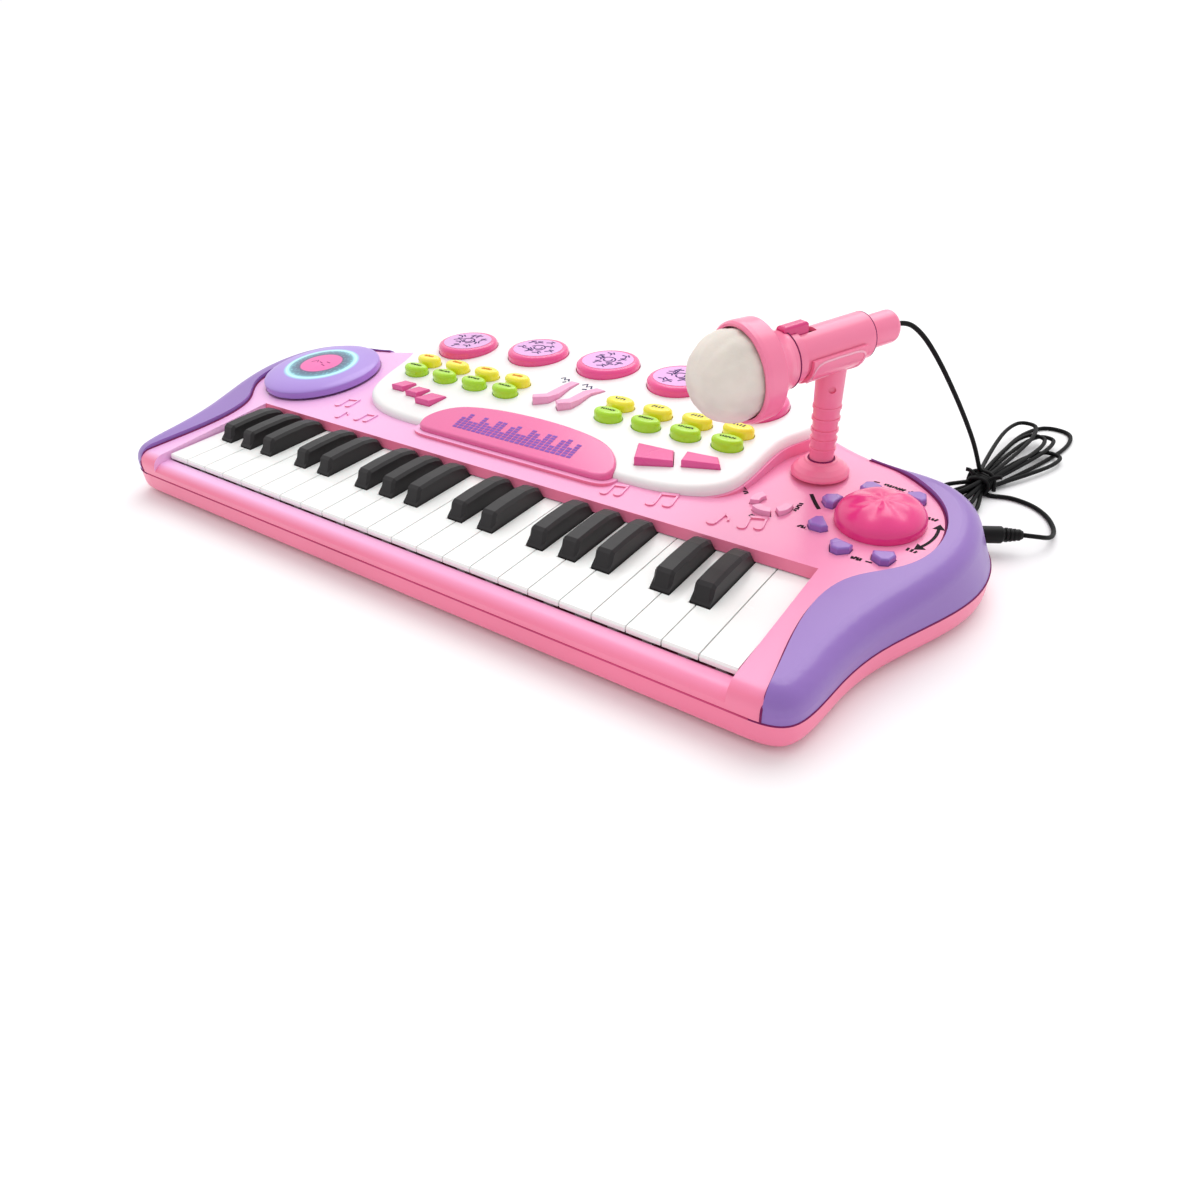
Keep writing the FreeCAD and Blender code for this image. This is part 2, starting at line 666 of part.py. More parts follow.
def make_speaker():
    x, y = SPEAKER_PLACE
    base = "Sizes.shell_bottom + Sizes.wall"
    frame = bound("Cylinder", "SpeakerFrame", {"Radius": "28", "Height": "3"}, (x, y, base))
    cone = bound("Cone", "SpeakerCone", {"Radius1": "25", "Radius2": "12", "Height": "8"},
                 (x, y, base + " + 2.5"))
    magnet = bound("Cylinder", "SpeakerMagnet", {"Radius": "13", "Height": "6"}, (x, y, base + " + 10"))
    return node("speaker", fused("SpeakerParts", [frame, cone, magnet]))


# ---------------------------------------------------------------- panel and its controls

def make_panel():
    slab = prism(panel_outline(), 20, 90).common(below_panel()).cut(below_panel(size("panel_thick")))
    rim = [edge for edge in slab.Edges
           if abs(edge.CenterOfMass.z - panel_height(edge.CenterOfMass.y)) < 1.2 and edge.Length > 5]
    slab = slab.makeFillet(size("panel_round"), rim)
    slab = slab.cut(prism(display_outline(0.15), 20, 90))
    for space in control_stems(size("button_gap")):
        slab = slab.cut(space)
    return solid_node("control_panel", slab)


def make_display():
    """Pink window, standing a little over the panel with a rounded edge."""
    rise = 2.2
    crown = prism(display_outline(), 31.25, 60).common(below_panel(-rise)).Solids[0]
    edges = [edge for edge in crown.Edges
             if abs(edge.CenterOfMass.z - panel_height(edge.CenterOfMass.y) - rise) < 1.5 and edge.Length > 5]
    return solid_node("display_window", crown.makeFillet(1.8, edges))


def comb_bar(ends, radius, height, thick=1.5):
    return hull_bar(ends, radius, height - thick, height)


def make_oval_row(label, row, low):
    """Eight oval buttons standing on one sprung comb under the panel."""
    top = panel_height(row) + size("oval_height")
    comb = comb_bar(((-113, row), (113, row)), 3, low)
    buttons = []
    for x in OVAL_COLUMNS:
        button = oval_prism(x, row, size("oval_long"), size("oval_short"), low - 1, top)
        buttons.append(softened(button, 2.4, top - 0.1))
    return solid_node(label, comb.multiFuse(buttons))


def make_drum_pads(low):
    ends = list(zip(PAD_CENTRES, PAD_CENTRES[1:]))
    bars = [comb_bar(pair, 5, low) for pair in ends]
    pads = []
    for x, y in PAD_CENTRES:
        top = panel_height(y) + size("pad_height")
        pad = Part.makeCylinder(size("pad_radius"), top - low + 1, Vector(x, y, low - 1))
        pads.append(softened(pad, 2.8, top - 0.1))
    return solid_node("drum_pads", bars[0].multiFuse(bars[1:] + pads))


def make_pink_buttons(low):
    """Small pink buttons on a deeper comb that passes below the other rows."""
    pieces = [comb_bar(((-112, 10), (112, 10)), 2, low), comb_bar(((2, 10), (2, 51)), 2, low),
              comb_bar(WAVE_STEMS, 2, low), comb_bar(((112, 10), CRESCENT_CENTRE), 2, low)]
    for x, y, scale in SLANTED:
        pieces.append(softened(polygon_prism(slanted_points(x, y, scale), low - 1, panel_height(y) + 2.4), 0.7,
                               panel_height(y) + 2.3))
    for points in TRAPEZOIDS + WAVES:
        y = sum(p[1] for p in points) / len(points)
        top = panel_height(y) + 2.6
        foot = low - 1 if points in TRAPEZOIDS else 41.0
        pieces.append(softened(polygon_prism(points, foot, top), 0.7, top - 0.1))
    for x, y in WAVE_STEMS:
        pieces.append(Part.makeCylinder(2, 14, Vector(x, y, low - 1)))
    for turn in CRESCENT_TURNS:
        pieces.append(crescent(turn, low - 1, deck(CRESCENT_CENTRE[1]) + 2.2))
    return solid_node("pink_buttons", pieces[0].multiFuse(pieces[1:]))


def make_purple_buttons(low):
    """Six buttons on one thin ring that lies round the dome under the shell."""
    x, y = size("dome_x"), size("dome_y")
    ring = Part.makeCylinder(size("dome_radius") + 5.5, 1.5, Vector(x, y, low - 1.5))
    ring = ring.cut(Part.makeCylinder(size("dome_radius") + 1, 4, Vector(x, y, low - 3)))
    pieces = []
    for turn, reach in PURPLE_PLACES:
        pieces.append(comb_bar((round_dome(turn, size("dome_radius") + 3), round_dome(turn, reach)), 2, low))
        top = deck(round_dome(turn, reach)[1]) + 3.2
        pieces.append(softened(purple_button(turn, reach, low - 1, top), 1.2, top - 0.1))
    return solid_node("purple_buttons", ring.multiFuse(pieces))


def squashed_dome(long_half, wide_half, height, skirt):
    """Low dome over an oval, standing on a short upright skirt, base at z = 0."""
    ball = Part.makeSphere(1.0)
    stretch = FreeCAD.Matrix()
    stretch.scale(wide_half, long_half, height - skirt)
    cap = ball.transformGeometry(stretch)
    cap.translate(Vector(0, 0, skirt))
    corner = Vector(-2 * wide_half, -2 * long_half, skirt)
    cap = cap.common(Part.makeBox(4 * wide_half, 4 * long_half, height, corner))
    return cap.fuse(oval_prism(0, 0, wide_half, long_half, 0, skirt)).removeSplitter()


def hollow_dome(long_half, wide_half, height, skirt):
    """The dome as a thin moulding closed underneath by a plate."""
    wall = size("wall")
    room = squashed_dome(long_half - wall, wide_half - wall, height - 1.5 - wall, skirt - 1)
    room.translate(Vector(0, 0, 1.5))
    return squashed_dome(long_half, wide_half, height, skirt).cut(room)


def make_disc_pad():
    dome = hollow_dome(size("disc_long"), size("disc_wide"), size("disc_height"), 3.5)
    stem = oval_prism(0, 0, size("disc_wide") - 9, size("disc_long") - 9, -6, 1)
    return solid_node("disc_pad", dome.fuse(stem), tilted(size("disc_x"), size("disc_y"), size("press") - 0.8))


def make_power_dome():
    dome = hollow_dome(size("dome_radius"), size("dome_radius"), size("dome_height"), 2.0)
    shaft = Part.makeCylinder(9, 9, Vector(0, 0, -8))
    return solid_node("power_dome", dome.fuse(shaft), tilted(size("dome_x"), size("dome_y"), 0.3))


# ---------------------------------------------------------------- microphone, stand and cord

def mic_frame():
    """Local +Z runs along the microphone towards its grille; the origin is over the stand."""
    heading = math.radians(size("mic_heading"))
    dip = math.radians(size("mic_dip"))
    along = Vector(math.cos(heading) * math.cos(dip), math.sin(heading) * math.cos(dip), -math.sin(dip))
    up = Vector(0, 0, 1) - along * along.z
    turn = Rotation(up.normalize(), Vector(0, 1, 0), along, "ZXY")
    return Placement(Vector(size("stand_x"), size("stand_y"), size("axis_height")), turn)


def turned(profile):
    """Solid of revolution about Z from (radius, height) points, straight between them."""
    points = [Vector(r, 0, z) for r, z in profile]
    return Part.Face(Part.makePolygon(points + points[:1])).revolve(Vector(0, 0, 0), Vector(0, 0, 1), 360)


def make_mic_body():
    barrel = size("barrel_radius")
    bell = size("bell_radius")
    tail = size("tail_radius")
    neck = barrel + 2.6
    steps = [k / 8 for k in range(9)]
    flare = [(neck + (bell - neck) * t ** 1.6, 31 + 13 * t) for t in steps]
    inner = [(barrel - 2 + (bell - 1.8 - barrel + 2) * t ** 1.6, 35 + 12 * t) for t in reversed(steps)]
    tail_end = [(tail - 2.4 + 2.4 * math.sin(math.pi / 8 * k), -34 + 2.4 * (1 - math.cos(math.pi / 8 * k)))
                for k in range(5)]
    return turned([(0, -34)] + tail_end + [
        (tail, -17), (tail + 0.6, -16), (barrel - 0.5, -16), (barrel, -15.2), (barrel, 24),
        (barrel + 1.2, 24.6), (barrel + 1.4, 29), (barrel + 2.2, 29.6)] + flare + [
        (bell + 0.5, 52), (bell + 0.3, 54), (bell - 0.6, 55), (bell - 1.8, 54.8)] + inner + [
        (barrel - 2, -13), (0, -13)])


def make_microphone():
    frame = mic_frame()
    barrel = size("barrel_radius")
    bell = size("bell_radius")
    # slide switch on top, just behind the bell, held by a flange inside the barrel
    travel = size("switch_travel")
    front = 31.5
    length = 13.5
    seat = Part.makeBox(12, 6.6, length + travel + 0.8, Vector(barrel - 3.4, -3.3, front + 0.4 - length - travel - 0.8))
    solid_node("mic_body", make_mic_body().cut(seat), frame)
    thumb = Part.makeBox(8.0, 5.8, length, Vector(barrel - 3.4, -2.9, front - length))
    thumb = thumb.makeFillet(1.6, [edge for edge in thumb.Edges if edge.BoundBox.XMin > barrel + 4])
    flange = Part.makeBox(1.8, 8.0, length + 3, Vector(barrel - 5.2, -4.0, front - length - 1.5))
    solid_node("mic_switch", thumb.fuse(flange), frame)
    # grille: a deep dome on a skirt that reaches into the bell
    outer = bell - 2.1
    inner = outer - 2.0
    dome = Part.makeSphere(outer, Vector(0, 0, 0), Vector(0, 0, 1), 0, 90)
    dome = dome.cut(Part.makeSphere(inner, Vector(0, 0, 0), Vector(0, 0, 1), 0, 90))
    dome.translate(Vector(0, 0, 57.5))
    skirt = Part.makeCylinder(outer, 10, Vector(0, 0, 47.5)).cut(Part.makeCylinder(inner, 11, Vector(0, 0, 47)))
    solid_node("mic_grille", dome.fuse(skirt), frame)


def make_stand():
    """Flared foot, ribbed stem and the trough that holds the microphone."""
    x, y = size("stand_x"), size("stand_y")
    base = deck(y)
    radius = size("stand_radius")
    top = size("axis_height") - size("cradle_radius") - base
    foot = turned([(0, -3), (4.9, -3), (4.9, 0.5), (radius, 1.2), (radius, 2.4), (radius - 1.0, 4.2),
                   (radius - 3.2, 6.2), (8.7, 7.8), (8.0, 8.8), (6.0, 8.8), (6.0, 24), (6.8, 40),
                   (7.2, top + 3), (0, top + 3)])
    foot.translate(Vector(x, y, base))
    ribs = []
    for k, height in enumerate((14, 19, 24, 30, 36)):
        ribs.append(Part.makeCylinder(6.6 + 0.12 * k, 1.3, Vector(x, y, base + height)))
    cradle = Part.makeCylinder(size("cradle_radius"), 31, Vector(0, 0, -9))
    trough = Part.makeCylinder(size("barrel_radius") + 0.3, 40, Vector(0, 0, -15))
    open_top = Part.makeBox(40, 60, 40, Vector(0.5, -30, -15))
    cradle = cradle.cut(open_top)
    cradle.Placement = mic_frame()
    trough.Placement = mic_frame()
    open_top.Placement = mic_frame()
    stand = foot.multiFuse(ribs + [cradle]).cut(trough).cut(open_top)
    screw = Part.makeCylinder(1.7, 3, Vector(x, y, 0), Vector(0.55, -0.83, 0))
    screw.translate(Vector(0.55 * 5.6, -0.83 * 5.6, base + 47))
    stand = stand.cut(screw)
    return solid_node("mic_stand", stand)


# Route of the cord from the microphone's tail down to the tied hank.
DROP_ROUTE = [(180.8, 81.1, 106.3), (187.2, 89.8, 99.0), (194.6, 99.5, 84.5), (202.5, 110.5, 65.5),
              (209.6, 121.0, 46.5), (215.2, 129.3, 30.0), (218.6, 134.0, 17.5), (219.6, 135.6, 9.5)]
# Route from the plug's sleeve over the table to the hank.
TABLE_ROUTE = [(263.2, 82.6, 9.2), (267.8, 90.0, 6.0), (268.4, 100.2, 3.0), (266.4, 111.0, 1.4),
               (261.0, 121.6, 1.3), (252.0, 129.8, 1.3), (240.6, 133.0, 1.3), (230.0, 130.6, 2.6)]
PLUG_BODY = 25.0
PLUG_SLEEVE = 9.4
HANK_PLAN = [(204, 112), (211, 104), (226, 97), (231, 101), (233, 130), (242, 150), (254, 180), (256, 226),
             (245, 243), (229, 236), (222, 212), (217, 160), (210, 133)]


def rounded_path(points):
    """Straight runs joined by tangent arcs, each as large as its two runs allow."""
    pieces = []
    radii = []
    last = points[0]
    for before, corner, after in zip(points, points[1:], points[2:]):
        came = (corner - before).normalize()
        goes = (after - corner).normalize()
        turn = came.getAngle(goes)
        back = 0.45 * min((corner - before).Length, (after - corner).Length)
        radius = back / math.tan(turn / 2)
        radii.append(round(radius, 1))
        first = corner - came * back
        second = corner + goes * back
        inward = (goes - came).normalize()
        middle = corner + inward * (radius / math.cos(turn / 2) - radius)
        pieces += [Part.makeLine(last, first), Part.Arc(first, middle, second).toShape()]
        last = second
    pieces.append(Part.makeLine(last, points[-1]))
    return Part.Wire(pieces), radii


def cord_tube(points):
    path, radii = rounded_path([Vector(*p) for p in points])
    start = path.Edges[0].tangentAt(path.Edges[0].FirstParameter)
    ring = Part.Wire([Part.makeCircle(size("cord_diameter") / 2, Vector(*points[0]), start)])
    tube = path.makePipeShell([ring], True, False)
    expected = math.pi * (size("cord_diameter") / 2) ** 2 * path.Length
    print("cord: length", round(path.Length, 1), "volume ratio", round(tube.Volume / expected, 4), "radii", radii)
    return tube


def make_cord():
    frame = mic_frame()
    tail = frame.multVec(Vector(0, 0, -34))
    start, along = plug_line()
    sleeve_end = start + along * (PLUG_BODY + PLUG_SLEEVE)
    drop = cord_tube([tuple(tail)] + DROP_ROUTE)
    table = cord_tube([tuple(sleeve_end)] + TABLE_ROUTE)
    solid_node("mic_cord", Part.Compound([drop, table]))


def make_hank():
    """Outer shape of the tied bundle of turns, lying behind the case."""
    return solid_node("cord_hank", polygon_prism(HANK_PLAN, 0.1, 10.0))


def make_plug():
    start, along = plug_line()
    body = size("plug_radius")
    cord = size("cord_diameter") / 2
    sleeve = PLUG_BODY + PLUG_SLEEVE
    profile = [(0, -12), (1.2, -12), (1.75, -10.5), (1.75, -0.5), (body, -0.5), (body, PLUG_BODY - 1),
               (body - 0.8, PLUG_BODY), (body - 1.6, PLUG_BODY)]
    for k in range(4):
        ridge = PLUG_BODY + 1 + 2 * k
        reach = body - 0.7 - 0.25 * k
        profile += [(body - 1.6, ridge), (reach, ridge), (reach, ridge + 1), (body - 1.6, ridge + 1)]
    profile += [(cord + 0.9, sleeve), (0, sleeve)]
    plug = turned(profile)
    turn = Rotation(Vector(0, 0, 1), along)
    return solid_node("mic_plug", plug, Placement(start, turn))


def write_nodes():
    doc.recompute()
    for item in doc.Objects:
        if any(word in item.State for word in ("Invalid", "Error")):
            raise RuntimeError(f"{item.Name} failed: {item.State}")
    os.makedirs("parts", exist_ok=True)
    for piece in NODES:
        if piece.Shape.isNull() or not piece.Shape.isValid():
            raise RuntimeError(f"{piece.Label} has no valid shape")
        piece.Shape.exportStep(f"parts/{piece.Label}.step")
    print(len(NODES), "nodes written")


make_bottom_case()
make_top_case()
make_cheeks()
make_panel()
make_display()
make_disc_pad()
make_power_dome()
make_drum_pads(low=36.0)
make_oval_row("green_buttons", GREEN_ROW, low=37.5)
make_oval_row("yellow_buttons", YELLOW_ROW, low=38.5)
make_pink_buttons(low=30.0)
make_purple_buttons(low=30.2)
make_circuit_board()
make_speaker()
make_battery_cover()
make_screws()
make_stand()
make_microphone()
make_cord()
make_hank()
make_plug()
make_keys()
write_nodes()
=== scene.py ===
import json
import math
import random

import bmesh
import bpy
from mathutils import Matrix, Vector
from mathutils.bvhtree import BVHTree


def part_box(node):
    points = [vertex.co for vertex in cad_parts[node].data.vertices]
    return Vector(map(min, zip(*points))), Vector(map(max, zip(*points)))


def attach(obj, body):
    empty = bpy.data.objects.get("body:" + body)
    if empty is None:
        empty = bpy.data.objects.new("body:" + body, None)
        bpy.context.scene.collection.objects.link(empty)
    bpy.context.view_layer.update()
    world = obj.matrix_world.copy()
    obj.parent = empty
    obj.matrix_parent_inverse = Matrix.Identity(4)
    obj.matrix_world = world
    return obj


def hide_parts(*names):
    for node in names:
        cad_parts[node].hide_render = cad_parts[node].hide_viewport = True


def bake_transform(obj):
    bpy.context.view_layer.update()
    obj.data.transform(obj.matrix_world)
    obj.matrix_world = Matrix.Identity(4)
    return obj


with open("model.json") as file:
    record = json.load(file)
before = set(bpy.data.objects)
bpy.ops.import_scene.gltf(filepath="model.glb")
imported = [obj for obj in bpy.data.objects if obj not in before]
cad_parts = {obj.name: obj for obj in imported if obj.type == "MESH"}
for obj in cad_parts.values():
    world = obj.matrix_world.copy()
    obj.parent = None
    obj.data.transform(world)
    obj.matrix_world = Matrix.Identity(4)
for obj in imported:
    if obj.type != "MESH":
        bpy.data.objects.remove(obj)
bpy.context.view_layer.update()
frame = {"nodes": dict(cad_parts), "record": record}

# Toy keyboard with a microphone.  Metres, +Z up, the player on the -Y side.
MM = 0.001
NODES = frame["nodes"]
scene = bpy.context.scene

# Places shared with the CAD, in millimetres.
OVAL_COLUMNS = [side * (38.3 + 25.2 * k) for side in (-1, 1) for k in range(4)]
GREEN_ROW = 31.0
YELLOW_ROW = 43.6
PAD_CENTRES = [(-107, 74.5), (-54, 84.5), (0, 87), (54, 84.5), (107, 74.5)]
DISC = (-192.0, 16.0)
DOME = (203.0, 15.0)
DECK_SLOPE = 0.06
STAND = (161.0, 43.0)
AXIS_HEIGHT = 103.7                # of the microphone's axis, where it passes over the stand
MIC_HEADING = math.radians(-117.5)
MIC_DIP = math.radians(3.45)
CORD = 2.4                         # diameter


# ---------------------------------------------------------------- materials

def linear(red, green, blue):
    """Screen colour 0-255 to the renderer's linear colour."""
    def channel(value):
        value /= 255
        return value / 12.92 if value <= 0.04045 else ((value + 0.055) / 1.055) ** 2.4
    return channel(red), channel(green), channel(blue), 1.0


def tint(colour, factor):
    return tuple(min(1.0, c * factor) for c in colour[:3]) + (1.0,)


def new_material(name):
    material = bpy.data.materials.new(name)
    material.use_nodes = True
    tree = material.node_tree
    return material, tree.nodes, tree.links, tree.nodes["Principled BSDF"]


def place_texture(nodes, links, texture, scale):
    """Feed a texture with the object's own coordinates."""
    where = nodes.new("ShaderNodeTexCoord")
    links.new(where.outputs["Object"], texture.inputs["Vector"])
    texture.inputs["Scale"].default_value = scale


def mottled(nodes, links, dark, light, scale):
    """Colour that drifts slowly between two near tones."""
    noise = nodes.new("ShaderNodeTexNoise")
    place_texture(nodes, links, noise, scale)
    ramp = nodes.new("ShaderNodeValToRGB")
    ramp.color_ramp.elements[0].position = 0.35
    ramp.color_ramp.elements[1].position = 0.65
    ramp.color_ramp.elements[0].color = dark
    ramp.color_ramp.elements[1].color = light
    links.new(noise.outputs["Fac"], ramp.inputs["Fac"])
    return ramp.outputs["Color"]


def uneven_gloss(nodes, links, shader, low, high, scale):
    """Roughness that drifts between two values."""
    noise = nodes.new("ShaderNodeTexNoise")
    place_texture(nodes, links, noise, scale)
    gloss = nodes.new("ShaderNodeMapRange")
    gloss.inputs["To Min"].default_value = low
    gloss.inputs["To Max"].default_value = high
    links.new(noise.outputs["Fac"], gloss.inputs["Value"])
    links.new(gloss.outputs["Result"], shader.inputs["Roughness"])


def grain(nodes, links, shader, scale, depth):
    """Fine moulded grain."""
    noise = nodes.new("ShaderNodeTexNoise")
    place_texture(nodes, links, noise, scale)
    noise.inputs["Detail"].default_value = 4
    bump = nodes.new("ShaderNodeBump")
    bump.inputs["Strength"].default_value = 0.35
    bump.inputs["Distance"].default_value = depth
    links.new(noise.outputs["Fac"], bump.inputs["Height"])
    links.new(bump.outputs["Normal"], shader.inputs["Normal"])


BLOTCHES = 9                       # scale of the slow drift of tone over moulded plastic


def plastic(name, colour, rough=(0.28, 0.4), scatter=0.06, coat=0.15, texture=900, depth=0.00004, drift=0.06,
            shine=0.5):
    """Moulded plastic: slight drift of tone, uneven gloss, fine grain, a little light let through."""
    material, nodes, links, shader = new_material(name)
    colours = mottled(nodes, links, tint(colour, 1 - drift), tint(colour, 1 + drift / 2), BLOTCHES)
    links.new(colours, shader.inputs["Base Color"])
    uneven_gloss(nodes, links, shader, rough[0], rough[1], 35)
    grain(nodes, links, shader, texture, depth)
    shader.inputs["Subsurface Weight"].default_value = scatter
    shader.inputs["Subsurface Radius"].default_value = (1.0, 0.5, 0.5)
    shader.inputs["Subsurface Scale"].default_value = 0.002
    shader.inputs["Coat Weight"].default_value = coat
    shader.inputs["Coat Roughness"].default_value = 0.2
    shader.inputs["Specular IOR Level"].default_value = shine
    return material


def radial_field(nodes, links, centre):
    """Distance from an upright axis, in metres, and the plan place from that axis."""
    where = nodes.new("ShaderNodeTexCoord")
    shift = nodes.new("ShaderNodeVectorMath")
    shift.operation = "SUBTRACT"
    shift.inputs[1].default_value = (centre[0] * MM, centre[1] * MM, 0)
    links.new(where.outputs["Object"], shift.inputs[0])
    flat = nodes.new("ShaderNodeVectorMath")
    flat.operation = "MULTIPLY"
    flat.inputs[1].default_value = (1, 1, 0)
    links.new(shift.outputs["Vector"], flat.inputs[0])
    length = nodes.new("ShaderNodeVectorMath")
    length.operation = "LENGTH"
    links.new(flat.outputs["Vector"], length.inputs[0])
    return length.outputs["Value"], flat.outputs["Vector"]


def two_tone(nodes, links, shader, mask, low, high):
    """Base colour that goes from one tone to another as a mask goes from 0 to 1."""
    mix = nodes.new("ShaderNodeMix")
    mix.data_type = "RGBA"
    links.new(mask, mix.inputs["Factor"])
    links.new(mottled(nodes, links, tint(low, 0.95), tint(low, 1.02), BLOTCHES), mix.inputs["A"])
    links.new(mottled(nodes, links, tint(high, 0.93), tint(high, 1.03), BLOTCHES), mix.inputs["B"])
    links.new(mix.outputs["Result"], shader.inputs["Base Color"])


def spread(nodes, links, value, start, end):
    """0 at start, 1 at end, and between them in proportion."""
    ramp = nodes.new("ShaderNodeMapRange")
    ramp.inputs["From Min"].default_value = start
    ramp.inputs["From Max"].default_value = end
    links.new(value, ramp.inputs["Value"])
    return ramp.outputs["Result"]


def combined(nodes, links, operation, first, second=None):
    """One or two values through a maths node."""
    math_node = nodes.new("ShaderNodeMath")
    math_node.operation = operation
    links.new(first, math_node.inputs[0])
    if second is not None:
        links.new(second, math_node.inputs[1])
    return math_node.outputs["Value"]


def moulded(name, low, high, mask_of, rough=(0.28, 0.4), coat=0.15):
    """Plastic in two tones, told apart by a mask."""
    material = plastic(name, low, rough=rough, coat=coat)
    nodes, links = material.node_tree.nodes, material.node_tree.links
    two_tone(nodes, links, nodes["Principled BSDF"], mask_of(nodes, links), low, high)
    return material


def axis_of(nodes, links, vector, axis):
    """One axis of a vector."""
    axes = nodes.new("ShaderNodeSeparateXYZ")
    links.new(vector, axes.inputs["Vector"])
    return axes.outputs[axis]


def shell_with_painted_sheen_and_shade(name):
    """Upper shell: painted lilac reflection at the low end fading to rose at the high end, and painted shade, a
    darker rose, on walls that face the player.
    """
    low_end, high_end = -0.16, 0.18
    material = plastic(name, linear(246, 160, 200), coat=0.25)
    nodes, links = material.node_tree.nodes, material.node_tree.links
    place = nodes.new("ShaderNodeTexCoord").outputs["Object"]
    facing = nodes.new("ShaderNodeNewGeometry").outputs["Normal"]
    # painted reflection: lilac at the low (left) end, where the shell shows a lilac sheen, fading to rose at
    # the high end
    along = nodes.new("ShaderNodeMix")
    along.data_type = "RGBA"
    length = axis_of(nodes, links, place, "X")
    links.new(spread(nodes, links, length, low_end, high_end), along.inputs["Factor"])
    along.inputs["A"].default_value = linear(244, 186, 232)
    along.inputs["B"].default_value = linear(245, 146, 188)
    # painted shade: walls that face the player, away from the light, turn a darker rose
    painted_shade_mix = nodes.new("ShaderNodeMix")
    painted_shade_mix.data_type = "RGBA"
    links.new(spread(nodes, links, axis_of(nodes, links, facing, "Y"), -0.15, -0.75), painted_shade_mix.inputs["Factor"])
    links.new(along.outputs["Result"], painted_shade_mix.inputs["A"])
    rose = mottled(nodes, links, linear(246, 124, 160), linear(252, 132, 168), BLOTCHES)
    links.new(rose, painted_shade_mix.inputs["B"])
    links.new(painted_shade_mix.outputs["Result"], nodes["Principled BSDF"].inputs["Base Color"])
    return material


def side_panel_keys(nodes, links):
    """1 on the buttons that stand well to the left and right of the middle, 0 elsewhere."""
    place = nodes.new("ShaderNodeTexCoord").outputs["Object"]
    across = combined(nodes, links, "ABSOLUTE", axis_of(nodes, links, place, "X"))
    far = spread(nodes, links, across, 0.04, 0.045)
    near = spread(nodes, links, across, 0.132, 0.128)
    return combined(nodes, links, "MULTIPLY", far, near)


def printed_disc(name):
    """Purple dome with a printed ring: pink centre, dark speckled band, bright blue halo."""
    material, nodes, links, shader = new_material(name)
    distance, flat = radial_field(nodes, links, DISC)
    rings = spread(nodes, links, distance, 0.0, 0.042)
    ramp = nodes.new("ShaderNodeValToRGB")
    stops = [
        (0.00, linear(243, 96, 176)), (0.33, linear(240, 92, 170)), (0.352, linear(84, 66, 112)),
        (0.372, linear(94, 128, 150)), (0.44, linear(96, 150, 174)), (0.49, linear(120, 190, 205)),
        (0.535, linear(170, 240, 250)), (0.565, linear(205, 250, 255)), (0.59, linear(160, 215, 240)),
        (0.62, linear(172, 140, 222)), (1.0, linear(165, 128, 212)),
    ]
    while len(ramp.color_ramp.elements) < len(stops):
        ramp.color_ramp.elements.new(0.5)
    for element, (position, colour) in zip(ramp.color_ramp.elements, stops):
        element.position = position
        element.color = colour
    links.new(rings, ramp.inputs["Fac"])
    speckle = nodes.new("ShaderNodeTexVoronoi")
    speckle.inputs["Scale"].default_value = 420
    links.new(flat, speckle.inputs["Vector"])
    dots = spread(nodes, links, speckle.outputs["Distance"], 0.2, 0.45)
    band = nodes.new("ShaderNodeValToRGB")
    for position, value in ((0.0, 0.0), (0.345, 0.0), (0.36, 0.65), (0.5, 0.45), (0.53, 0.0)):
        element = band.color_ramp.elements[0] if position == 0.0 else band.color_ramp.elements.new(position)
        element.position = position
        element.color = (value, value, value, 1)
    band.color_ramp.elements[-1].color = (0, 0, 0, 1)
    links.new(rings, band.inputs["Fac"])
    amount = combined(nodes, links, "MULTIPLY", dots, band.outputs["Color"])
    mix = nodes.new("ShaderNodeMix")
    mix.data_type = "RGBA"
    mix.inputs["B"].default_value = linear(52, 60, 104)
    links.new(amount, mix.inputs["Factor"])
    links.new(ramp.outputs["Color"], mix.inputs["A"])
    links.new(mix.outputs["Result"], shader.inputs["Base Color"])
    uneven_gloss(nodes, links, shader, 0.3, 0.42, 40)
    grain(nodes, links, shader, 900, 0.00003)
    shader.inputs["Coat Weight"].default_value = 0.2
    return material


def soft_grille(name, colour):
    """Off-white foam-like grille with a faint weave."""
    material, nodes, links, shader = new_material(name)
    colours = mottled(nodes, links, tint(colour, 0.9), tint(colour, 1.05), 60)
    links.new(colours, shader.inputs["Base Color"])
    uneven_gloss(nodes, links, shader, 0.5, 0.65, 80)
    cells = nodes.new("ShaderNodeTexVoronoi")
    place_texture(nodes, links, cells, 700)
    bump = nodes.new("ShaderNodeBump")
    bump.inputs["Strength"].default_value = 0.3
    bump.inputs["Distance"].default_value = 0.00015
    links.new(cells.outputs["Distance"], bump.inputs["Height"])
    links.new(bump.outputs["Normal"], shader.inputs["Normal"])
    shader.inputs["Subsurface Weight"].default_value = 0.1
    shader.inputs["Subsurface Scale"].default_value = 0.003
    return material


def brushed(name, colour):
    """Bright plated steel."""
    material, nodes, links, shader = new_material(name)
    links.new(mottled(nodes, links, tint(colour, 0.85), tint(colour, 1.1), 400), shader.inputs["Base Color"])
    shader.inputs["Metallic"].default_value = 1.0
    uneven_gloss(nodes, links, shader, 0.25, 0.45, 900)
    return material


def circuit(name):
    """Green solder mask with copper tracks."""
    material, nodes, links, shader = new_material(name)
    wave = nodes.new("ShaderNodeTexWave")
    place_texture(nodes, links, wave, 90)
    ramp = nodes.new("ShaderNodeValToRGB")
    ramp.color_ramp.elements[0].position = 0.75
    ramp.color_ramp.elements[1].position = 0.8
    ramp.color_ramp.elements[0].color = linear(28, 92, 50)
    ramp.color_ramp.elements[1].color = linear(60, 130, 72)
    links.new(wave.outputs["Fac"], ramp.inputs["Fac"])
    links.new(ramp.outputs["Color"], shader.inputs["Base Color"])
    uneven_gloss(nodes, links, shader, 0.35, 0.5, 60)
    return material


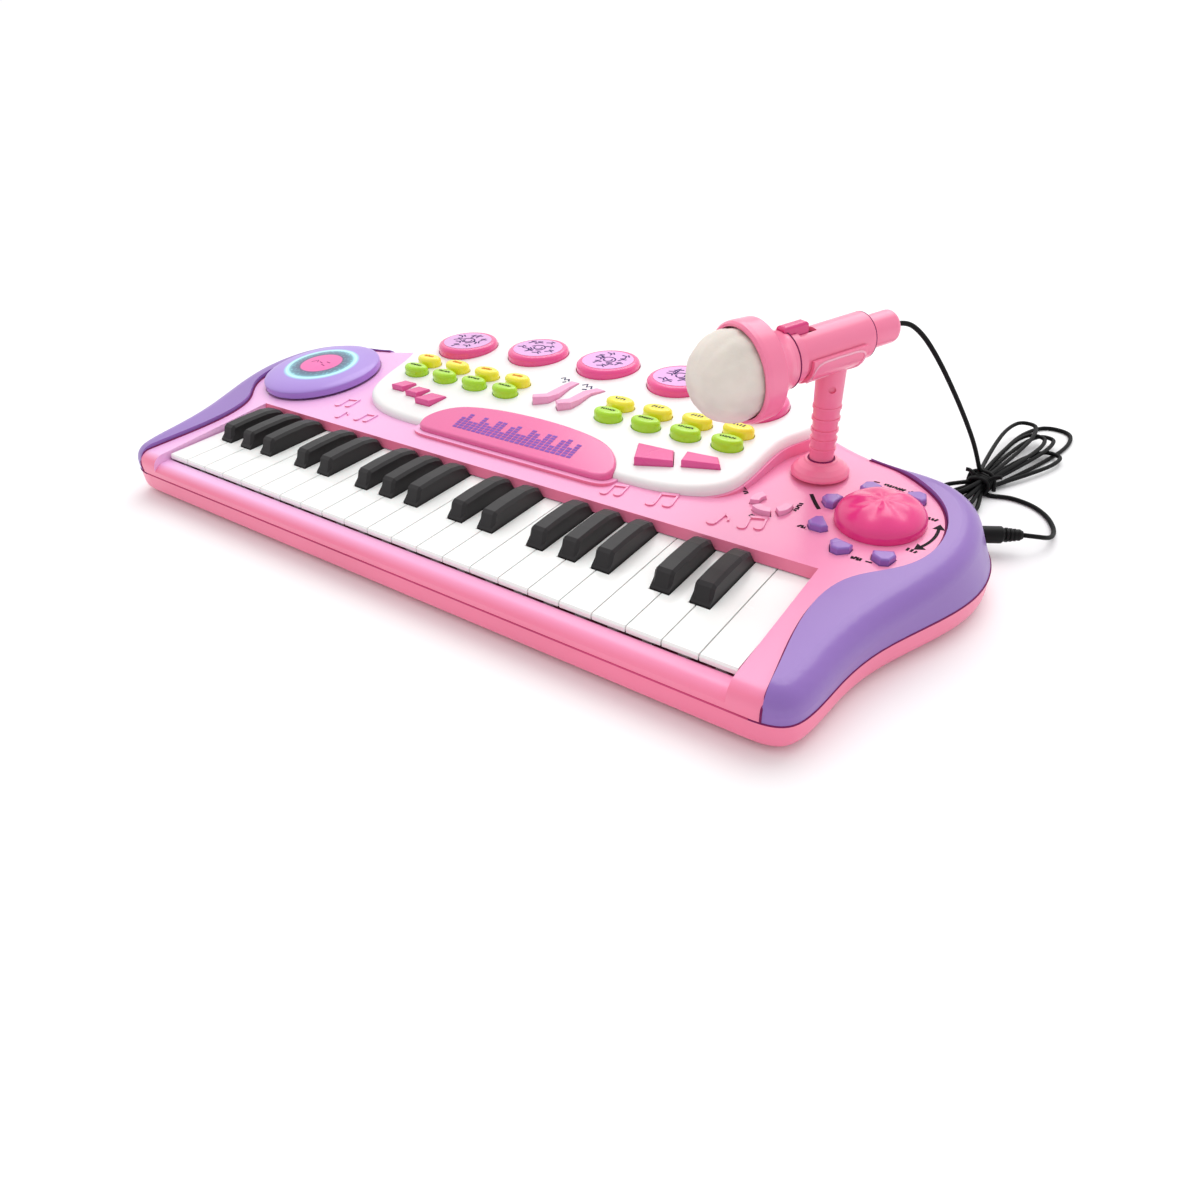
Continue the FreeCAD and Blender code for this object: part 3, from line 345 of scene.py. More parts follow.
MATERIALS = {
    "pink_case": plastic("pink_case", linear(250, 128, 164)),
    "pink_shell": shell_with_painted_sheen_and_shade("pink_shell"),
    "purple_plastic": plastic("purple_plastic", linear(142, 104, 184), drift=0.08),
    "disc_plastic": printed_disc("disc_plastic"),
    "white_plastic": plastic("white_plastic", linear(247, 245, 244), scatter=0.1, drift=0.02),
    "pink_window": plastic("pink_window", linear(241, 106, 166), rough=(0.15, 0.22), coat=0.5),
    "hot_pink": plastic("hot_pink", linear(232, 50, 132), rough=(0.2, 0.3), coat=0.4, drift=0.1),
    "pad_pink": plastic("pad_pink", linear(238, 74, 146), rough=(0.2, 0.3), coat=0.4, drift=0.08),
    "green_plastic": plastic("green_plastic", linear(176, 228, 14), rough=(0.2, 0.3), coat=0.4),
    "yellow_plastic": plastic("yellow_plastic", linear(254, 240, 52), rough=(0.2, 0.3), coat=0.4),
    "button_pink": moulded("button_pink", linear(244, 168, 206), linear(236, 84, 158), side_panel_keys,
                           rough=(0.22, 0.34), coat=0.3),
    "purple_button": plastic("purple_button", linear(146, 104, 190), rough=(0.22, 0.34), coat=0.3),
    "white_key": plastic("white_key", linear(250, 250, 248), rough=(0.2, 0.3), scatter=0.1, drift=0.015),
    "black_key": plastic("black_key", linear(32, 29, 31), rough=(0.4, 0.55), scatter=0.0, coat=0.05,
                         texture=1500, depth=0.00008, drift=0.2, shine=0.35),
    "mic_pink": plastic("mic_pink", linear(252, 130, 168), rough=(0.25, 0.36), coat=0.3),
    "grille": soft_grille("grille", linear(228, 218, 208)),
    "board": circuit("board"),
    "speaker_black": plastic("speaker_black", linear(40, 40, 42), rough=(0.6, 0.8), coat=0.0),
    "screw_steel": brushed("screw_steel", linear(176, 176, 180)),
    "cord_black": plastic("cord_black", linear(9, 9, 10), rough=(0.5, 0.65), scatter=0.0, coat=0.0,
                          drift=0.2, shine=0.15),
    "plug_black": plastic("plug_black", linear(12, 11, 12), rough=(0.4, 0.55), scatter=0.0, coat=0.0,
                          drift=0.2, shine=0.2),
}


def ink(name, colour, drift=0.2):
    """Flat printing ink."""
    return plastic(name, colour, rough=(0.5, 0.6), scatter=0.0, coat=0.0, drift=drift, shine=0.1)


INK = ink("ink", linear(52, 44, 96))
BLACK_INK = ink("black_ink", linear(26, 18, 26))
BAR_INK = ink("bar_ink", linear(146, 96, 190), drift=0.15)
ORANGE_INK = ink("orange_ink", linear(240, 132, 40))
LABEL = plastic("label", linear(230, 168, 228), rough=(0.25, 0.35), scatter=0.0, drift=0.08)
# light pink of the cradle rims: a painted highlight along the edge of the cradle's cheeks
PAINTED_HIGHLIGHT_RIM = plastic("rim", linear(255, 182, 204), rough=(0.2, 0.3))
SEAM = ink("seam", linear(128, 34, 92))
SOFT_SEAM = ink("soft_seam", linear(206, 76, 122))


def paint(piece, material):
    piece.data.materials.clear()
    piece.data.materials.append(material)


def paint_nodes():
    """The material of its slot on every CAD node."""
    for part in frame["record"]["subparts"]:
        name = part["node"]
        if name in NODES:
            paint(NODES[name], MATERIALS[part["material_slot"]])


# ---------------------------------------------------------------- mesh helpers

def mesh_piece(name, mesh, body, material):
    """A finished mesh as a piece that rides on a body."""
    piece = bpy.data.objects.new(name, mesh)
    scene.collection.objects.link(piece)
    paint(piece, material)
    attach(piece, body)
    return piece


def mesh_from(name, vertices, faces, smooth=True):
    mesh = bpy.data.meshes.new(name)
    mesh.from_pydata([tuple(v) for v in vertices], [], faces)
    mesh.validate()
    mesh.update()
    for polygon in mesh.polygons:
        polygon.use_smooth = smooth
    return mesh


SURFACES = {}


def surface(node):
    """Search tree over a CAD node's mesh."""
    if node not in SURFACES:
        mesh = NODES[node].data
        SURFACES[node] = BVHTree.FromPolygons([v.co.copy() for v in mesh.vertices],
                                              [tuple(p.vertices) for p in mesh.polygons])
    return SURFACES[node]


def land(node, x, y, lift=0.0):
    """Point on top of a node under the plan point (x, y) in millimetres, lifted along the surface normal."""
    hit, normal, _, _ = surface(node).ray_cast(Vector((x * MM, y * MM, 0.2)), Vector((0, 0, -1)))
    if hit is None:
        return Vector((x * MM, y * MM, 0.03))
    if normal.z < 0:
        normal = -normal
    return hit + normal * lift * MM


def flat_shape(node, outline, lift=0.12, cell=2.0):
    """Vertices and faces of a thin printed shape that follows a node's surface."""
    builder = bmesh.new()
    corners = [builder.verts.new((x, y, 0)) for x, y in outline]
    builder.faces.new(corners)
    bmesh.ops.triangulate(builder, faces=builder.faces[:])
    size = max(max(x for x, _ in outline) - min(x for x, _ in outline),
               max(y for _, y in outline) - min(y for _, y in outline))
    if size > cell * 1.5:
        for _ in range(min(4, math.ceil(math.log2(size / cell)))):
            bmesh.ops.subdivide_edges(builder, edges=builder.edges[:], cuts=1, use_grid_fill=True)
    for vertex in builder.verts:
        vertex.co = land(node, vertex.co.x, vertex.co.y, lift)
    builder.verts.index_update()
    vertices = [v.co.copy() for v in builder.verts]
    faces = [tuple(v.index for v in f.verts) for f in builder.faces]
    builder.free()
    return vertices, faces


def joined(shapes):
    """Several (vertices, faces) as one."""
    vertices, faces = [], []
    for some_vertices, some_faces in shapes:
        start = len(vertices)
        vertices += some_vertices
        faces += [tuple(start + i for i in f) for f in some_faces]
    return vertices, faces


def prints(name, node, body, material, outlines, lift=0.12, cell=2.0):
    """Several printed shapes on one node, as one piece."""
    vertices, faces = joined([flat_shape(node, outline, lift, cell) for outline in outlines])
    mesh = mesh_from(name, vertices, faces)
    return mesh_piece(name, mesh, body, material)


def circle_outline(x, y, radius, stretch=1.0, count=32):
    angles = [2 * math.pi * k / count for k in range(count)]
    return [(x + radius * math.cos(a), y + radius * stretch * math.sin(a)) for a in angles]


def stroke(points, width):
    """Outline of a pen stroke through plan points."""
    left, right = [], []
    for i, (x, y) in enumerate(points):
        ax, ay = points[max(i - 1, 0)]
        bx, by = points[min(i + 1, len(points) - 1)]
        length = math.hypot(bx - ax, by - ay) or 1.0
        nx, ny = -(by - ay) / length * width / 2, (bx - ax) / length * width / 2
        left.append((x + nx, y + ny))
        right.append((x - nx, y - ny))
    return left + right[::-1]


def turned_marks(marks, x, y, angle):
    """Move outlines drawn round the origin to a place and turn them."""
    c, s = math.cos(angle), math.sin(angle)
    return [[(x + c * px - s * py, y + s * px + c * py) for px, py in outline] for outline in marks]


def wall_faces(rings, around):
    """Faces between rings of vertices that follow each other."""
    faces = []
    for i in range(rings):
        for k in range(around):
            a, b = i * around + k, i * around + (k + 1) % around
            faces.append((a, b, b + around, a + around))
    return faces


def tube_shape(path, radius, sides=8):
    """Vertices and faces of a round tube along a path, with closed ends; the radius is in millimetres."""
    vertices = []
    normal = None
    for i, point in enumerate(path):
        ahead = (path[min(i + 1, len(path) - 1)] - path[max(i - 1, 0)]).normalized()
        if normal is None:
            normal = ahead.orthogonal().normalized()
        normal = (normal - ahead * normal.dot(ahead)).normalized()
        side = ahead.cross(normal)
        for k in range(sides):
            angle = 2 * math.pi * k / sides
            vertices.append(point + (normal * math.cos(angle) + side * math.sin(angle)) * radius * MM)
    faces = wall_faces(len(path) - 1, sides)
    faces.append(tuple(range(sides))[::-1])
    faces.append(tuple(range(len(vertices) - sides, len(vertices))))
    return vertices, faces


def tubes(name, shapes, body, material):
    """Several tubes as one piece."""
    vertices, faces = joined(shapes)
    return mesh_piece(name, mesh_from(name, vertices, faces), body, material)


def smooth_line(points, samples=10, order=3):
    """Points read from a NURBS line with these control points (millimetres in, metres out)."""
    curve = bpy.data.curves.new("line", "CURVE")
    curve.dimensions = "3D"
    curve.resolution_u = samples
    spline = curve.splines.new("NURBS")
    spline.points.add(len(points) - 1)
    for place, (x, y, z) in zip(spline.points, points):
        place.co = (x * MM, y * MM, z * MM, 1)
    spline.order_u = order
    spline.use_endpoint_u = True
    holder = bpy.data.objects.new("line", curve)
    mesh = bpy.data.meshes.new_from_object(holder)
    line = [v.co.copy() for v in mesh.vertices]
    bpy.data.objects.remove(holder)
    bpy.data.curves.remove(curve)
    bpy.data.meshes.remove(mesh)
    return line


# ---------------------------------------------------------------- camera, lights, floor

CAMERA_PLACE = (0.3005, -0.3365, 0.2392)
CAMERA_ANGLES = (36.84, 35.32, -3.23)     # azimuth, elevation, roll
LENS, SENSOR = 25.38, 36
FLOOR_HALF = 30


def make_camera():
    azimuth, elevation, roll = (math.radians(a) for a in CAMERA_ANGLES)
    back = Vector((math.sin(azimuth) * math.cos(elevation), -math.cos(azimuth) * math.cos(elevation),
                   math.sin(elevation)))
    across = Vector((0, 0, 1)).cross(back).normalized()
    upward = back.cross(across)
    c, s = math.cos(roll), math.sin(roll)
    columns = (across * c + upward * s, upward * c - across * s, back)
    data = bpy.data.cameras.new("camera")
    data.lens = LENS
    data.sensor_width = SENSOR
    data.clip_start = 0.01
    camera = bpy.data.objects.new("camera", data)
    camera.matrix_world = Matrix.Translation(CAMERA_PLACE) @ Matrix(columns).transposed().to_4x4()
    scene.collection.objects.link(camera)
    scene.camera = camera


def make_world():
    """White room, brighter behind the object."""
    world = bpy.data.worlds.new("studio")
    scene.world = world
    world.use_nodes = True
    nodes, links = world.node_tree.nodes, world.node_tree.links
    where = nodes.new("ShaderNodeTexCoord")
    behind = nodes.new("ShaderNodeVectorMath")
    behind.operation = "DOT_PRODUCT"
    behind.inputs[1].default_value = (-0.45, 0.89, 0.0)
    links.new(where.outputs["Generated"], behind.inputs[0])
    strength = nodes.new("ShaderNodeMapRange")
    strength.inputs["From Min"].default_value = -0.6
    strength.inputs["From Max"].default_value = 0.35
    strength.inputs["To Min"].default_value = 0.7
    strength.inputs["To Max"].default_value = 1.02
    links.new(behind.outputs["Value"], strength.inputs["Value"])
    links.new(strength.outputs["Result"], nodes["Background"].inputs["Strength"])
    nodes["Background"].inputs["Color"].default_value = (1.0, 1.0, 1.0, 1)
    scene.view_settings.view_transform = "Standard"


def make_sun():
    """One broad soft light from above and behind."""
    data = bpy.data.lights.new("sun", "SUN")
    data.energy = 1.25
    data.angle = math.radians(50)
    sun = bpy.data.objects.new("sun", data)
    sun.rotation_euler = Vector((0.15, -0.55, -0.8)).to_track_quat("-Z", "Y").to_euler()
    scene.collection.objects.link(sun)


def make_floor():
    """Wide plain sheet of pale paper."""
    corners = [Vector((x * FLOOR_HALF, y * FLOOR_HALF, 0)) for x, y in ((-1, -1), (1, -1), (1, 1), (-1, 1))]
    mesh = mesh_from("floor", corners, [(0, 1, 2, 3)])
    floor = bpy.data.objects.new("floor", mesh)
    scene.collection.objects.link(floor)
    material, nodes, links, shader = new_material("paper")
    paper = mottled(nodes, links, linear(250, 250, 251), linear(253, 253, 253), 2)
    links.new(paper, shader.inputs["Base Color"])
    shader.inputs["Roughness"].default_value = 0.9
    paint(floor, material)


# ---------------------------------------------------------------- cord

# The same routes as in the CAD, in millimetres.
TAIL = (176.67, 73.10, 105.75)
DROP_ROUTE = [TAIL, (180.8, 81.1, 106.3), (187.2, 89.8, 99.0), (194.6, 99.5, 84.5), (202.5, 110.5, 65.5),
              (209.6, 121.0, 46.5), (215.2, 129.3, 30.0), (218.6, 134.0, 17.5)]
PLUG_END = (256.4, 79.2, 10.0)
TABLE_ROUTE = [(240.6, 133.0, 1.3), (252.0, 129.8, 1.3), (261.0, 121.6, 1.3), (266.4, 111.0, 1.4),
               (268.4, 100.2, 3.0), (267.8, 90.0, 6.0), (263.2, 82.6, 9.2), PLUG_END]
TIE = Vector((222, 133))
# Each turn: tip of its far loop, half its width, tip of its near loop.
TURNS = [((227, 222), 6.5, (209, 112)), ((236, 210), 6.0, (213, 106)), ((241, 215), 5.5, (217, 103)),
         ((249, 197), 6.0, (222, 101)), ((243, 239), 12.0, None)]
TOP_LAYER = 8.8                    # height of the first turn
LAYER = 1.9                        # each turn lies this much lower
TIED = 1.6                         # half the distance between the two strands of a turn in the tie
NEAR_HALF = 6.0                    # half the width of the near loops
# Shape of a loop: how far out along its axis, and its half width there, both as shares.
FAR_SHAPE = [(0.2, 0.42), (0.4, 0.72), (0.6, 0.95), (0.78, 1.05), (0.92, 0.85), (1.0, 0.4)]
NEAR_SHAPE = [(0.4, 0.7), (0.8, 1.0), (1.0, 0.55)]


def loop_sides(tip, shape, reach):
    """The two strands of a loop from the tie to its tip and back, and the way across it."""
    axis = Vector(tip) - TIE
    side = Vector((-axis.y, axis.x)).normalized()
    out = [TIE + axis * s + side * reach(w) for s, w in shape]
    back = [TIE + axis * s - side * reach(w) for s, w in reversed(shape)]
    return out, back, side


def hank_points():
    """Turns of the tied bundle, from the top layer down to the table."""
    points = []
    for layer, (far, width, near) in enumerate(TURNS):
        z = TOP_LAYER - LAYER * layer
        left, right, side = loop_sides(far, FAR_SHAPE, lambda w: 1.5 + width * w)
        start = [TIE + side * TIED] if layer else []
        points += [(p.x, p.y, z) for p in start + left + right + [TIE - side * TIED]]
        if near:
            out, back, _ = loop_sides(near, NEAR_SHAPE, lambda w: NEAR_HALF * w)
            steps = out + back
            for k, p in enumerate(steps):
                points.append((p.x, p.y, z - LAYER * (k + 1) / len(steps)))
    return points


def make_cord():
    """The whole cord, from the microphone through the tied hank to the plug, as one line."""
    into_tie = [(220.2, 136.5, 11.0)]
    out_of_tie = [(224.0, 132.0, 1.3), (228.5, 129.5, 1.3), (234.5, 131.5, 1.3)]
    path = smooth_line(DROP_ROUTE + into_tie + hank_points()[:-1] + out_of_tie + TABLE_ROUTE, 8)
    vertices, faces = tube_shape(path, CORD / 2, 12)
    piece = bpy.data.objects.new("cord", mesh_from("cord", vertices, faces))
    scene.collection.objects.link(piece)
    paint(piece, MATERIALS["cord_black"])
    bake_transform(piece)
    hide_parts("mic_cord", "cord_hank")
    make_tie()


def make_tie():
    """Twisted black tie round the waist of the hank, with its two short ends and a strand across them."""
    across = Vector((0.98, -0.2, 0)).normalized()
    along = Vector((0.15, 1, 0)).normalized()
    centre = Vector((TIE.x, TIE.y + 0.5, 5.4))
    half_wide, half_high, pitch = 6.2, 4.4, 2.1
    lines = []
    for wrap in range(4):
        ring = []
        for k in range(18):
            angle = 2 * math.pi * k / 18
            reach = across * math.cos(angle) * half_wide + Vector((0, 0, 1)) * math.sin(angle) * half_high
            twist = Vector((0, 0.9 * math.sin(2 * angle + wrap), 0))
            ring.append(tuple(centre + along * (wrap - 1.5) * pitch + reach + twist))
        lines.append(ring + ring[:2])
    lines += [
        [(226, 133, 8.5), (229, 135, 10.8), (232.5, 134, 11.6)],
        [(218, 135, 9), (215, 137.5, 11), (212.5, 137, 10.6)],
        [(216, 133, 4), (213.5, 139, 9), (222, 140, 10.6), (229, 138, 9), (230.5, 131, 4)],
    ]
    shapes = [tube_shape(smooth_line(line, 6), 1.15, 10) for line in lines]
    return tubes("cord_tie", shapes, "case", MATERIALS["cord_black"])


# ---------------------------------------------------------------- printed and moulded detail

def make_display_bars():
    """Purple bar picture on the pink window: columns of blocks of uneven height."""
    chooser = random.Random(4)
    columns, tallest = 24, 7
    left, pitch, half_wide = -43, 3.62, 1.5
    base, step, tall = -11.0, 2.0, 1.55
    blocks = []
    for column in range(columns):
        x = left + column * pitch
        height = min(tallest, 3 + round(2.0 * (1 + math.sin(column * 1.9)) + chooser.random() * 1.4))
        for row in range(height):
            y = base + row * step
            blocks.append([(x - half_wide, y), (x + half_wide, y),
                           (x + half_wide, y + tall), (x - half_wide, y + tall)])
    prints("display_bars", "display_window", "case", BAR_INK, blocks, 0.1)


def scribble(chooser, width, height, count, pen=0.85):
    """Row of short generic dashes that stands for a printed label."""
    marks = []
    for k in range(count):
        x = -width / 2 + width * (k + 0.5) / count
        lean = chooser.uniform(-0.4, 0.6)
        marks.append(stroke([(x - lean, -height / 2 * chooser.uniform(0.6, 1)),
                             (x + lean, height / 2 * chooser.uniform(0.6, 1))], pen))
    return marks


def make_button_marks():
    """Rows of dashes on the green and yellow buttons."""
    chooser = random.Random(11)
    greens, yellows, greys = [], [], []
    for x in OVAL_COLUMNS:
        greens += turned_marks(scribble(chooser, 9.5, 2.0, 7, 0.8), x, GREEN_ROW + 0.3, 0)
        where = yellows if x < 0 else greys
        pen = 1.5 if x < 0 else 0.85
        where += turned_marks(scribble(chooser, 7.6, 2.6, 4, pen), x, YELLOW_ROW + 0.3, 0)
    prints("green_marks", "green_buttons", "greens", BLACK_INK, greens)
    prints("yellow_marks", "yellow_buttons", "yellows", ORANGE_INK, yellows)
    prints("yellow_marks_right", "yellow_buttons", "yellows", INK, greys)


LABEL_RADIUS = 16.6


def make_pad_labels():
    """Lilac label on each drum pad, with a few generic marks."""
    chooser = random.Random(5)
    labels, marks = [], []
    for x, y in PAD_CENTRES:
        labels.append(circle_outline(x, y, LABEL_RADIUS, 0.94, 40))
        for k in range(9):
            angle = 0.5 + k * 0.7 + chooser.uniform(-0.2, 0.2)
            reach = chooser.uniform(6.5, 12.5)
            mark = [stroke([(-2.6, -1.4), (0, 1.2), (2.6, 0.2)], 1.0), stroke([(-1.8, 2.4), (1.8, 2.8)], 0.9)]
            marks += turned_marks(mark, x + reach * math.cos(angle), y + 0.9 * reach * math.sin(angle),
                                  chooser.uniform(-1, 1))
        for radius in (2.8, 5.0):
            angles = [2 * math.pi * k / 16 + radius for k in range(12)]
            line = [(x + radius * math.cos(a), y + 0.92 * radius * math.sin(a)) for a in angles]
            marks.append(stroke(line, 0.9))
    prints("pad_labels", "drum_pads", "pads", LABEL, labels, 0.1)
    prints("pad_marks", "drum_pads", "pads", INK, marks, 0.2)


def note_marks(pair=True, size=1.0):
    """A pair of joined quavers, or a single one, as strokes round the origin."""
    marks = [circle_outline(-3.2 * size, -3.4 * size, 1.9 * size, 0.75, 16),
             stroke([(-1.6 * size, -3.2 * size), (-1.6 * size, 4.2 * size)], 0.9 * size)]
    if pair:
        marks += [circle_outline(3.2 * size, -2.4 * size, 1.9 * size, 0.75, 16),
                  stroke([(4.8 * size, -2.2 * size), (4.8 * size, 5.2 * size)], 0.9 * size),
                  stroke([(-1.9 * size, 4.2 * size), (5.1 * size, 5.2 * size)], 1.7 * size)]
    else:
        tail = [(-1.6 * size, 4.2 * size), (0.6 * size, 2.8 * size), (1.6 * size, 0.8 * size)]
        marks.append(stroke(tail, 0.9 * size))
    return marks


def raised_shapes(name, node, body, material, outlines, height=0.5):
    """Low moulded relief: each outline lifted over the surface with upright sides."""
    shapes = []
    for outline in outlines:
        count = len(outline)
        bottom = [land(node, x, y, -0.2) for x, y in outline]
        cx = sum(x for x, _ in outline) / count
        cy = sum(y for _, y in outline) / count
        rim = [land(node, x, y, height * 0.75) for x, y in outline]
        top = [land(node, x + (cx - x) * 0.06, y + (cy - y) * 0.06, height) for x, y in outline]
        faces = []
        for low, high in ((0, count), (count, 2 * count)):
            for k in range(count):
                n = (k + 1) % count
                faces.append((low + k, low + n, high + n, high + k))
        faces.append(tuple(range(2 * count, 3 * count)))
        shapes.append((bottom + rim + top, faces))
    vertices, faces = joined(shapes)
    mesh = mesh_from(name, vertices, faces, smooth=False)
    return mesh_piece(name, mesh, body, material)


def make_reliefs():
    """Moulded music notes on the pink strip behind the keys."""
    # x, y, whether a joined pair, size, turn
    places = [(76, -20, True, 1.15, 0.1), (103, -17, True, 1.35, 0.15), (139, -19, False, 1.3, -0.1),
              (152, -15, True, 1.2, 0.2), (-141, -9, True, 1.2, 0.1), (-113, -19, True, 1.1, 0.0),
              (-128, -22, False, 1.0, 0.1)]
    outlines = []
    for x, y, pair, size, angle in places:
        outlines += turned_marks(note_marks(pair, size), x, y, angle)
    raised_shapes("note_reliefs", "top_case", "case", MATERIALS["pink_shell"], outlines, 0.8)


def arrow_head(x, y, angle, size):
    """Triangle with its tip at a place."""
    return turned_marks([[(0, 0), (-1.6 * size, 1.0 * size), (-1.6 * size, -1.0 * size)]], x, y, angle)


# Printed marks on the shell: x, y, turn in degrees, width, number of dashes.
SHELL_LABELS = [(176, -6.4, -8, 9.0, 6), (198.7, 46.4, -8, 11.0, 8), (222.7, 27, -3, 6.5, 4),
                (223.5, -1.6, -8, 5.5, 3), (204.7, -18.4, 0, 5.0, 4), (136, 10, -50, 5.0, 3),
                (151, -8.4, 0, 7.0, 5), (165, 8.6, 88, 8.5, 5)]
# Plus and minus signs: x, y, whether it is a plus.
SHELL_SIGNS = [(199, -18, True), (210.4, -18.5, False), (207.3, 45.4, True), (189.4, 47.4, False)]
SIGN_HALF = 1.5
SIGN_PEN = 0.9
ARROW_RADIUS = 26


def make_right_marks():
    """Small generic marks round the dome: rows of dashes, plus, minus, a bar and the double arrow."""
    chooser = random.Random(2)
    dx, dy = DOME
    marks = []
    for x, y, turn, width, count in SHELL_LABELS:
        marks += turned_marks(scribble(chooser, width, 2.6, count, 1.15), x, y, math.radians(turn))
    for x, y, plus in SHELL_SIGNS:
        marks.append(stroke([(x - SIGN_HALF, y), (x + SIGN_HALF, y)], SIGN_PEN))
        if plus:
            marks.append(stroke([(x, y - SIGN_HALF), (x, y + SIGN_HALF)], SIGN_PEN))
    marks.append(stroke([(165.6, 22.4), (168.4, 18.6), (171.4, 14.8), (174.4, 11.4)], 2.0))
    arc = [(dx + ARROW_RADIUS * math.cos(a), dy + ARROW_RADIUS * math.sin(a))
           for a in [math.radians(turn) for turn in range(-30, 16, 4)]]
    marks.append(stroke(arc, 1.5))
    marks += arrow_head(arc[0][0] - 1.6, arc[0][1] - 2.4, math.radians(-122), 2.8)
    marks += arrow_head(arc[-1][0] - 0.4, arc[-1][1] + 3.0, math.radians(100), 2.8)
    prints("shell_marks", "top_case", "case", BLACK_INK, marks, 0.1)


def make_panel_marks():
    """Generic squiggles over the two wave-shaped buttons."""
    swirls = [stroke([(-17, 60), (-15, 62), (-13.5, 59), (-11.5, 61), (-10, 58.5)], 1.2),
              stroke([(-13, 56), (-11, 57.5)], 1.1),
              stroke([(1, 57.5), (3.5, 60), (5, 56.5), (7.5, 58.5), (9, 55.5)], 1.2),
              stroke([(4, 53), (7, 54)], 1.1)]
    prints("panel_marks", "control_panel", "case", INK, swirls, 0.1)


def make_disc_marks():
    """Generic lines inside the pink centre of the disc."""
    x, y = DISC
    lines = [[(-8, -2), (-5, 2.2), (-3, -1)], [(-2, 0.5), (2, -0.6)],
             [(3, 2.4), (7, 2.0)], [(2.5, -2.2), (6.5, -3)]]
    marks = [stroke([(x + px, y + py) for px, py in line], 0.5) for line in lines]
    prints("disc_marks", "disc_pad", "disc", SEAM, marks, 0.1)


def mic_axes():
    """Way along the microphone, way up from it, and the point of its axis over the stand."""
    level = math.cos(MIC_DIP)
    along = Vector((math.cos(MIC_HEADING) * level, math.sin(MIC_HEADING) * level, -math.sin(MIC_DIP)))
    upward = (Vector((0, 0, 1)) - along * along.z).normalized()
    return along, upward, Vector((STAND[0], STAND[1], AXIS_HEIGHT)) * MM


def make_grille():
    """Soft off-white dome of the microphone, gently faceted, standing in the bell."""
    along, upward, origin = mic_axes()
    side = along.cross(upward)
    rings, around = 30, 96
    skirt = 0.3                    # share of the rings that stand in the bell
    radius, taper = 20.6, 1.2
    skirt_start, dome_start, dome_reach = 48, 58, 20.0
    vertices = []
    for i in range(rings + 1):
        t = i / rings
        if t < skirt:
            r = radius - taper + taper * t / skirt
            s = skirt_start + (dome_start - skirt_start) * t / skirt
        else:
            a = (t - skirt) / (1 - skirt) * math.pi / 2
            r = radius * math.cos(a)
            s = dome_start + dome_reach * math.sin(a)
        for k in range(around):
            angle = 2 * math.pi * k / around
            ripple = 1 + 0.014 * math.cos(12 * angle) * math.sin(math.pi * min(1, t * 1.1)) ** 0.6
            ripple += 0.006 * math.cos(24 * angle + 9 * t)
            out = upward * math.cos(angle) + side * math.sin(angle)
            vertices.append(origin + along * s * MM + out * r * ripple * MM)
    mesh = mesh_from("grille_dome", vertices, wall_faces(rings, around))
    piece = mesh_piece("grille_dome", mesh, "mic", MATERIALS["grille"])
    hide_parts("mic_grille")


def make_dome():
    """Hot pink dome with six soft petals moulded on its top."""
    _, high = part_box("power_dome")
    dome_height, radius, wall = 12.5, 21.0, 2.0
    edge = 0.16                    # share of the rings that make the upright edge
    base = Vector((DOME[0] * MM, DOME[1] * MM, high.z - dome_height * MM))
    turn = Matrix.Rotation(math.atan(DECK_SLOPE), 3, "X")
    rings, around = 40, 120
    vertices = []
    for i in range(rings + 1):
        t = i / rings
        for k in range(around):
            angle = 2 * math.pi * k / around
            if t < edge:
                r, z = radius, wall * t / edge
            else:
                a = (t - edge) / (1 - edge) * math.pi / 2
                r, z = radius * math.cos(a), wall + 10.0 * math.sin(a)
                petal = 0.5 + 0.5 * math.cos(6 * angle)
                ring = math.exp(-((r - 11.5) / 5.2) ** 2)
                z += 0.55 * ring * petal ** 0.7 - 0.55 * ring * (1 - petal)
                z -= 0.5 * math.exp(-((r - 4.5) / 2.0) ** 2) * (1 - petal)
            vertices.append(base + turn @ Vector((r * math.cos(angle), r * math.sin(angle), z - 0.25)) * MM)
    mesh = mesh_from("dome_skin", vertices, wall_faces(rings, around))
    piece = mesh_piece("dome_skin", mesh, "dome", MATERIALS["hot_pink"])
    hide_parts("power_dome")


# ---------------------------------------------------------------- joint lines

# The same plan lines as in the CAD, right-hand half, in millimetres.
WAIST, LOBE = 225.5, 252.5
SEAM_PLAN = [(WAIST - 23, -118), (WAIST - 9, -118), (WAIST - 2, -108), (WAIST - 1, -80), (WAIST + 4, -54),
             (LOBE - 10, -26), (LOBE + 4, 8), (LOBE - 1, 46), (LOBE - 25, 71), (LOBE - 62, 70), (LOBE - 92, 80),
             (LOBE - 120, 98), (92, 112), (40, 118), (0, 118)]
CHEEK_PLAN = [(209, -117.6), (208, -108), (203, -84), (201, -56), (207, -34), (224, -21), (233, -5), (234, 17),
              (227, 38), (210, 55), (191, 65), (179, 66.5)]
SEAM_HEIGHT = 15.0
FRONT_EDGE = -118.0


def plan_line(points, samples=12):
    """Cubic NURBS line through the plan, as plan points in millimetres."""
    return [(p.x / MM, p.y / MM) for p in smooth_line([(x, y, 0) for x, y in points], samples, order=4)]


def front_point(node, x, z):
    """Point on the front of a node at a height, in metres."""
    hit, _, _, _ = surface(node).ray_cast(Vector((x * MM, -0.2, z * MM)), Vector((0, 1, 0)))
    return hit


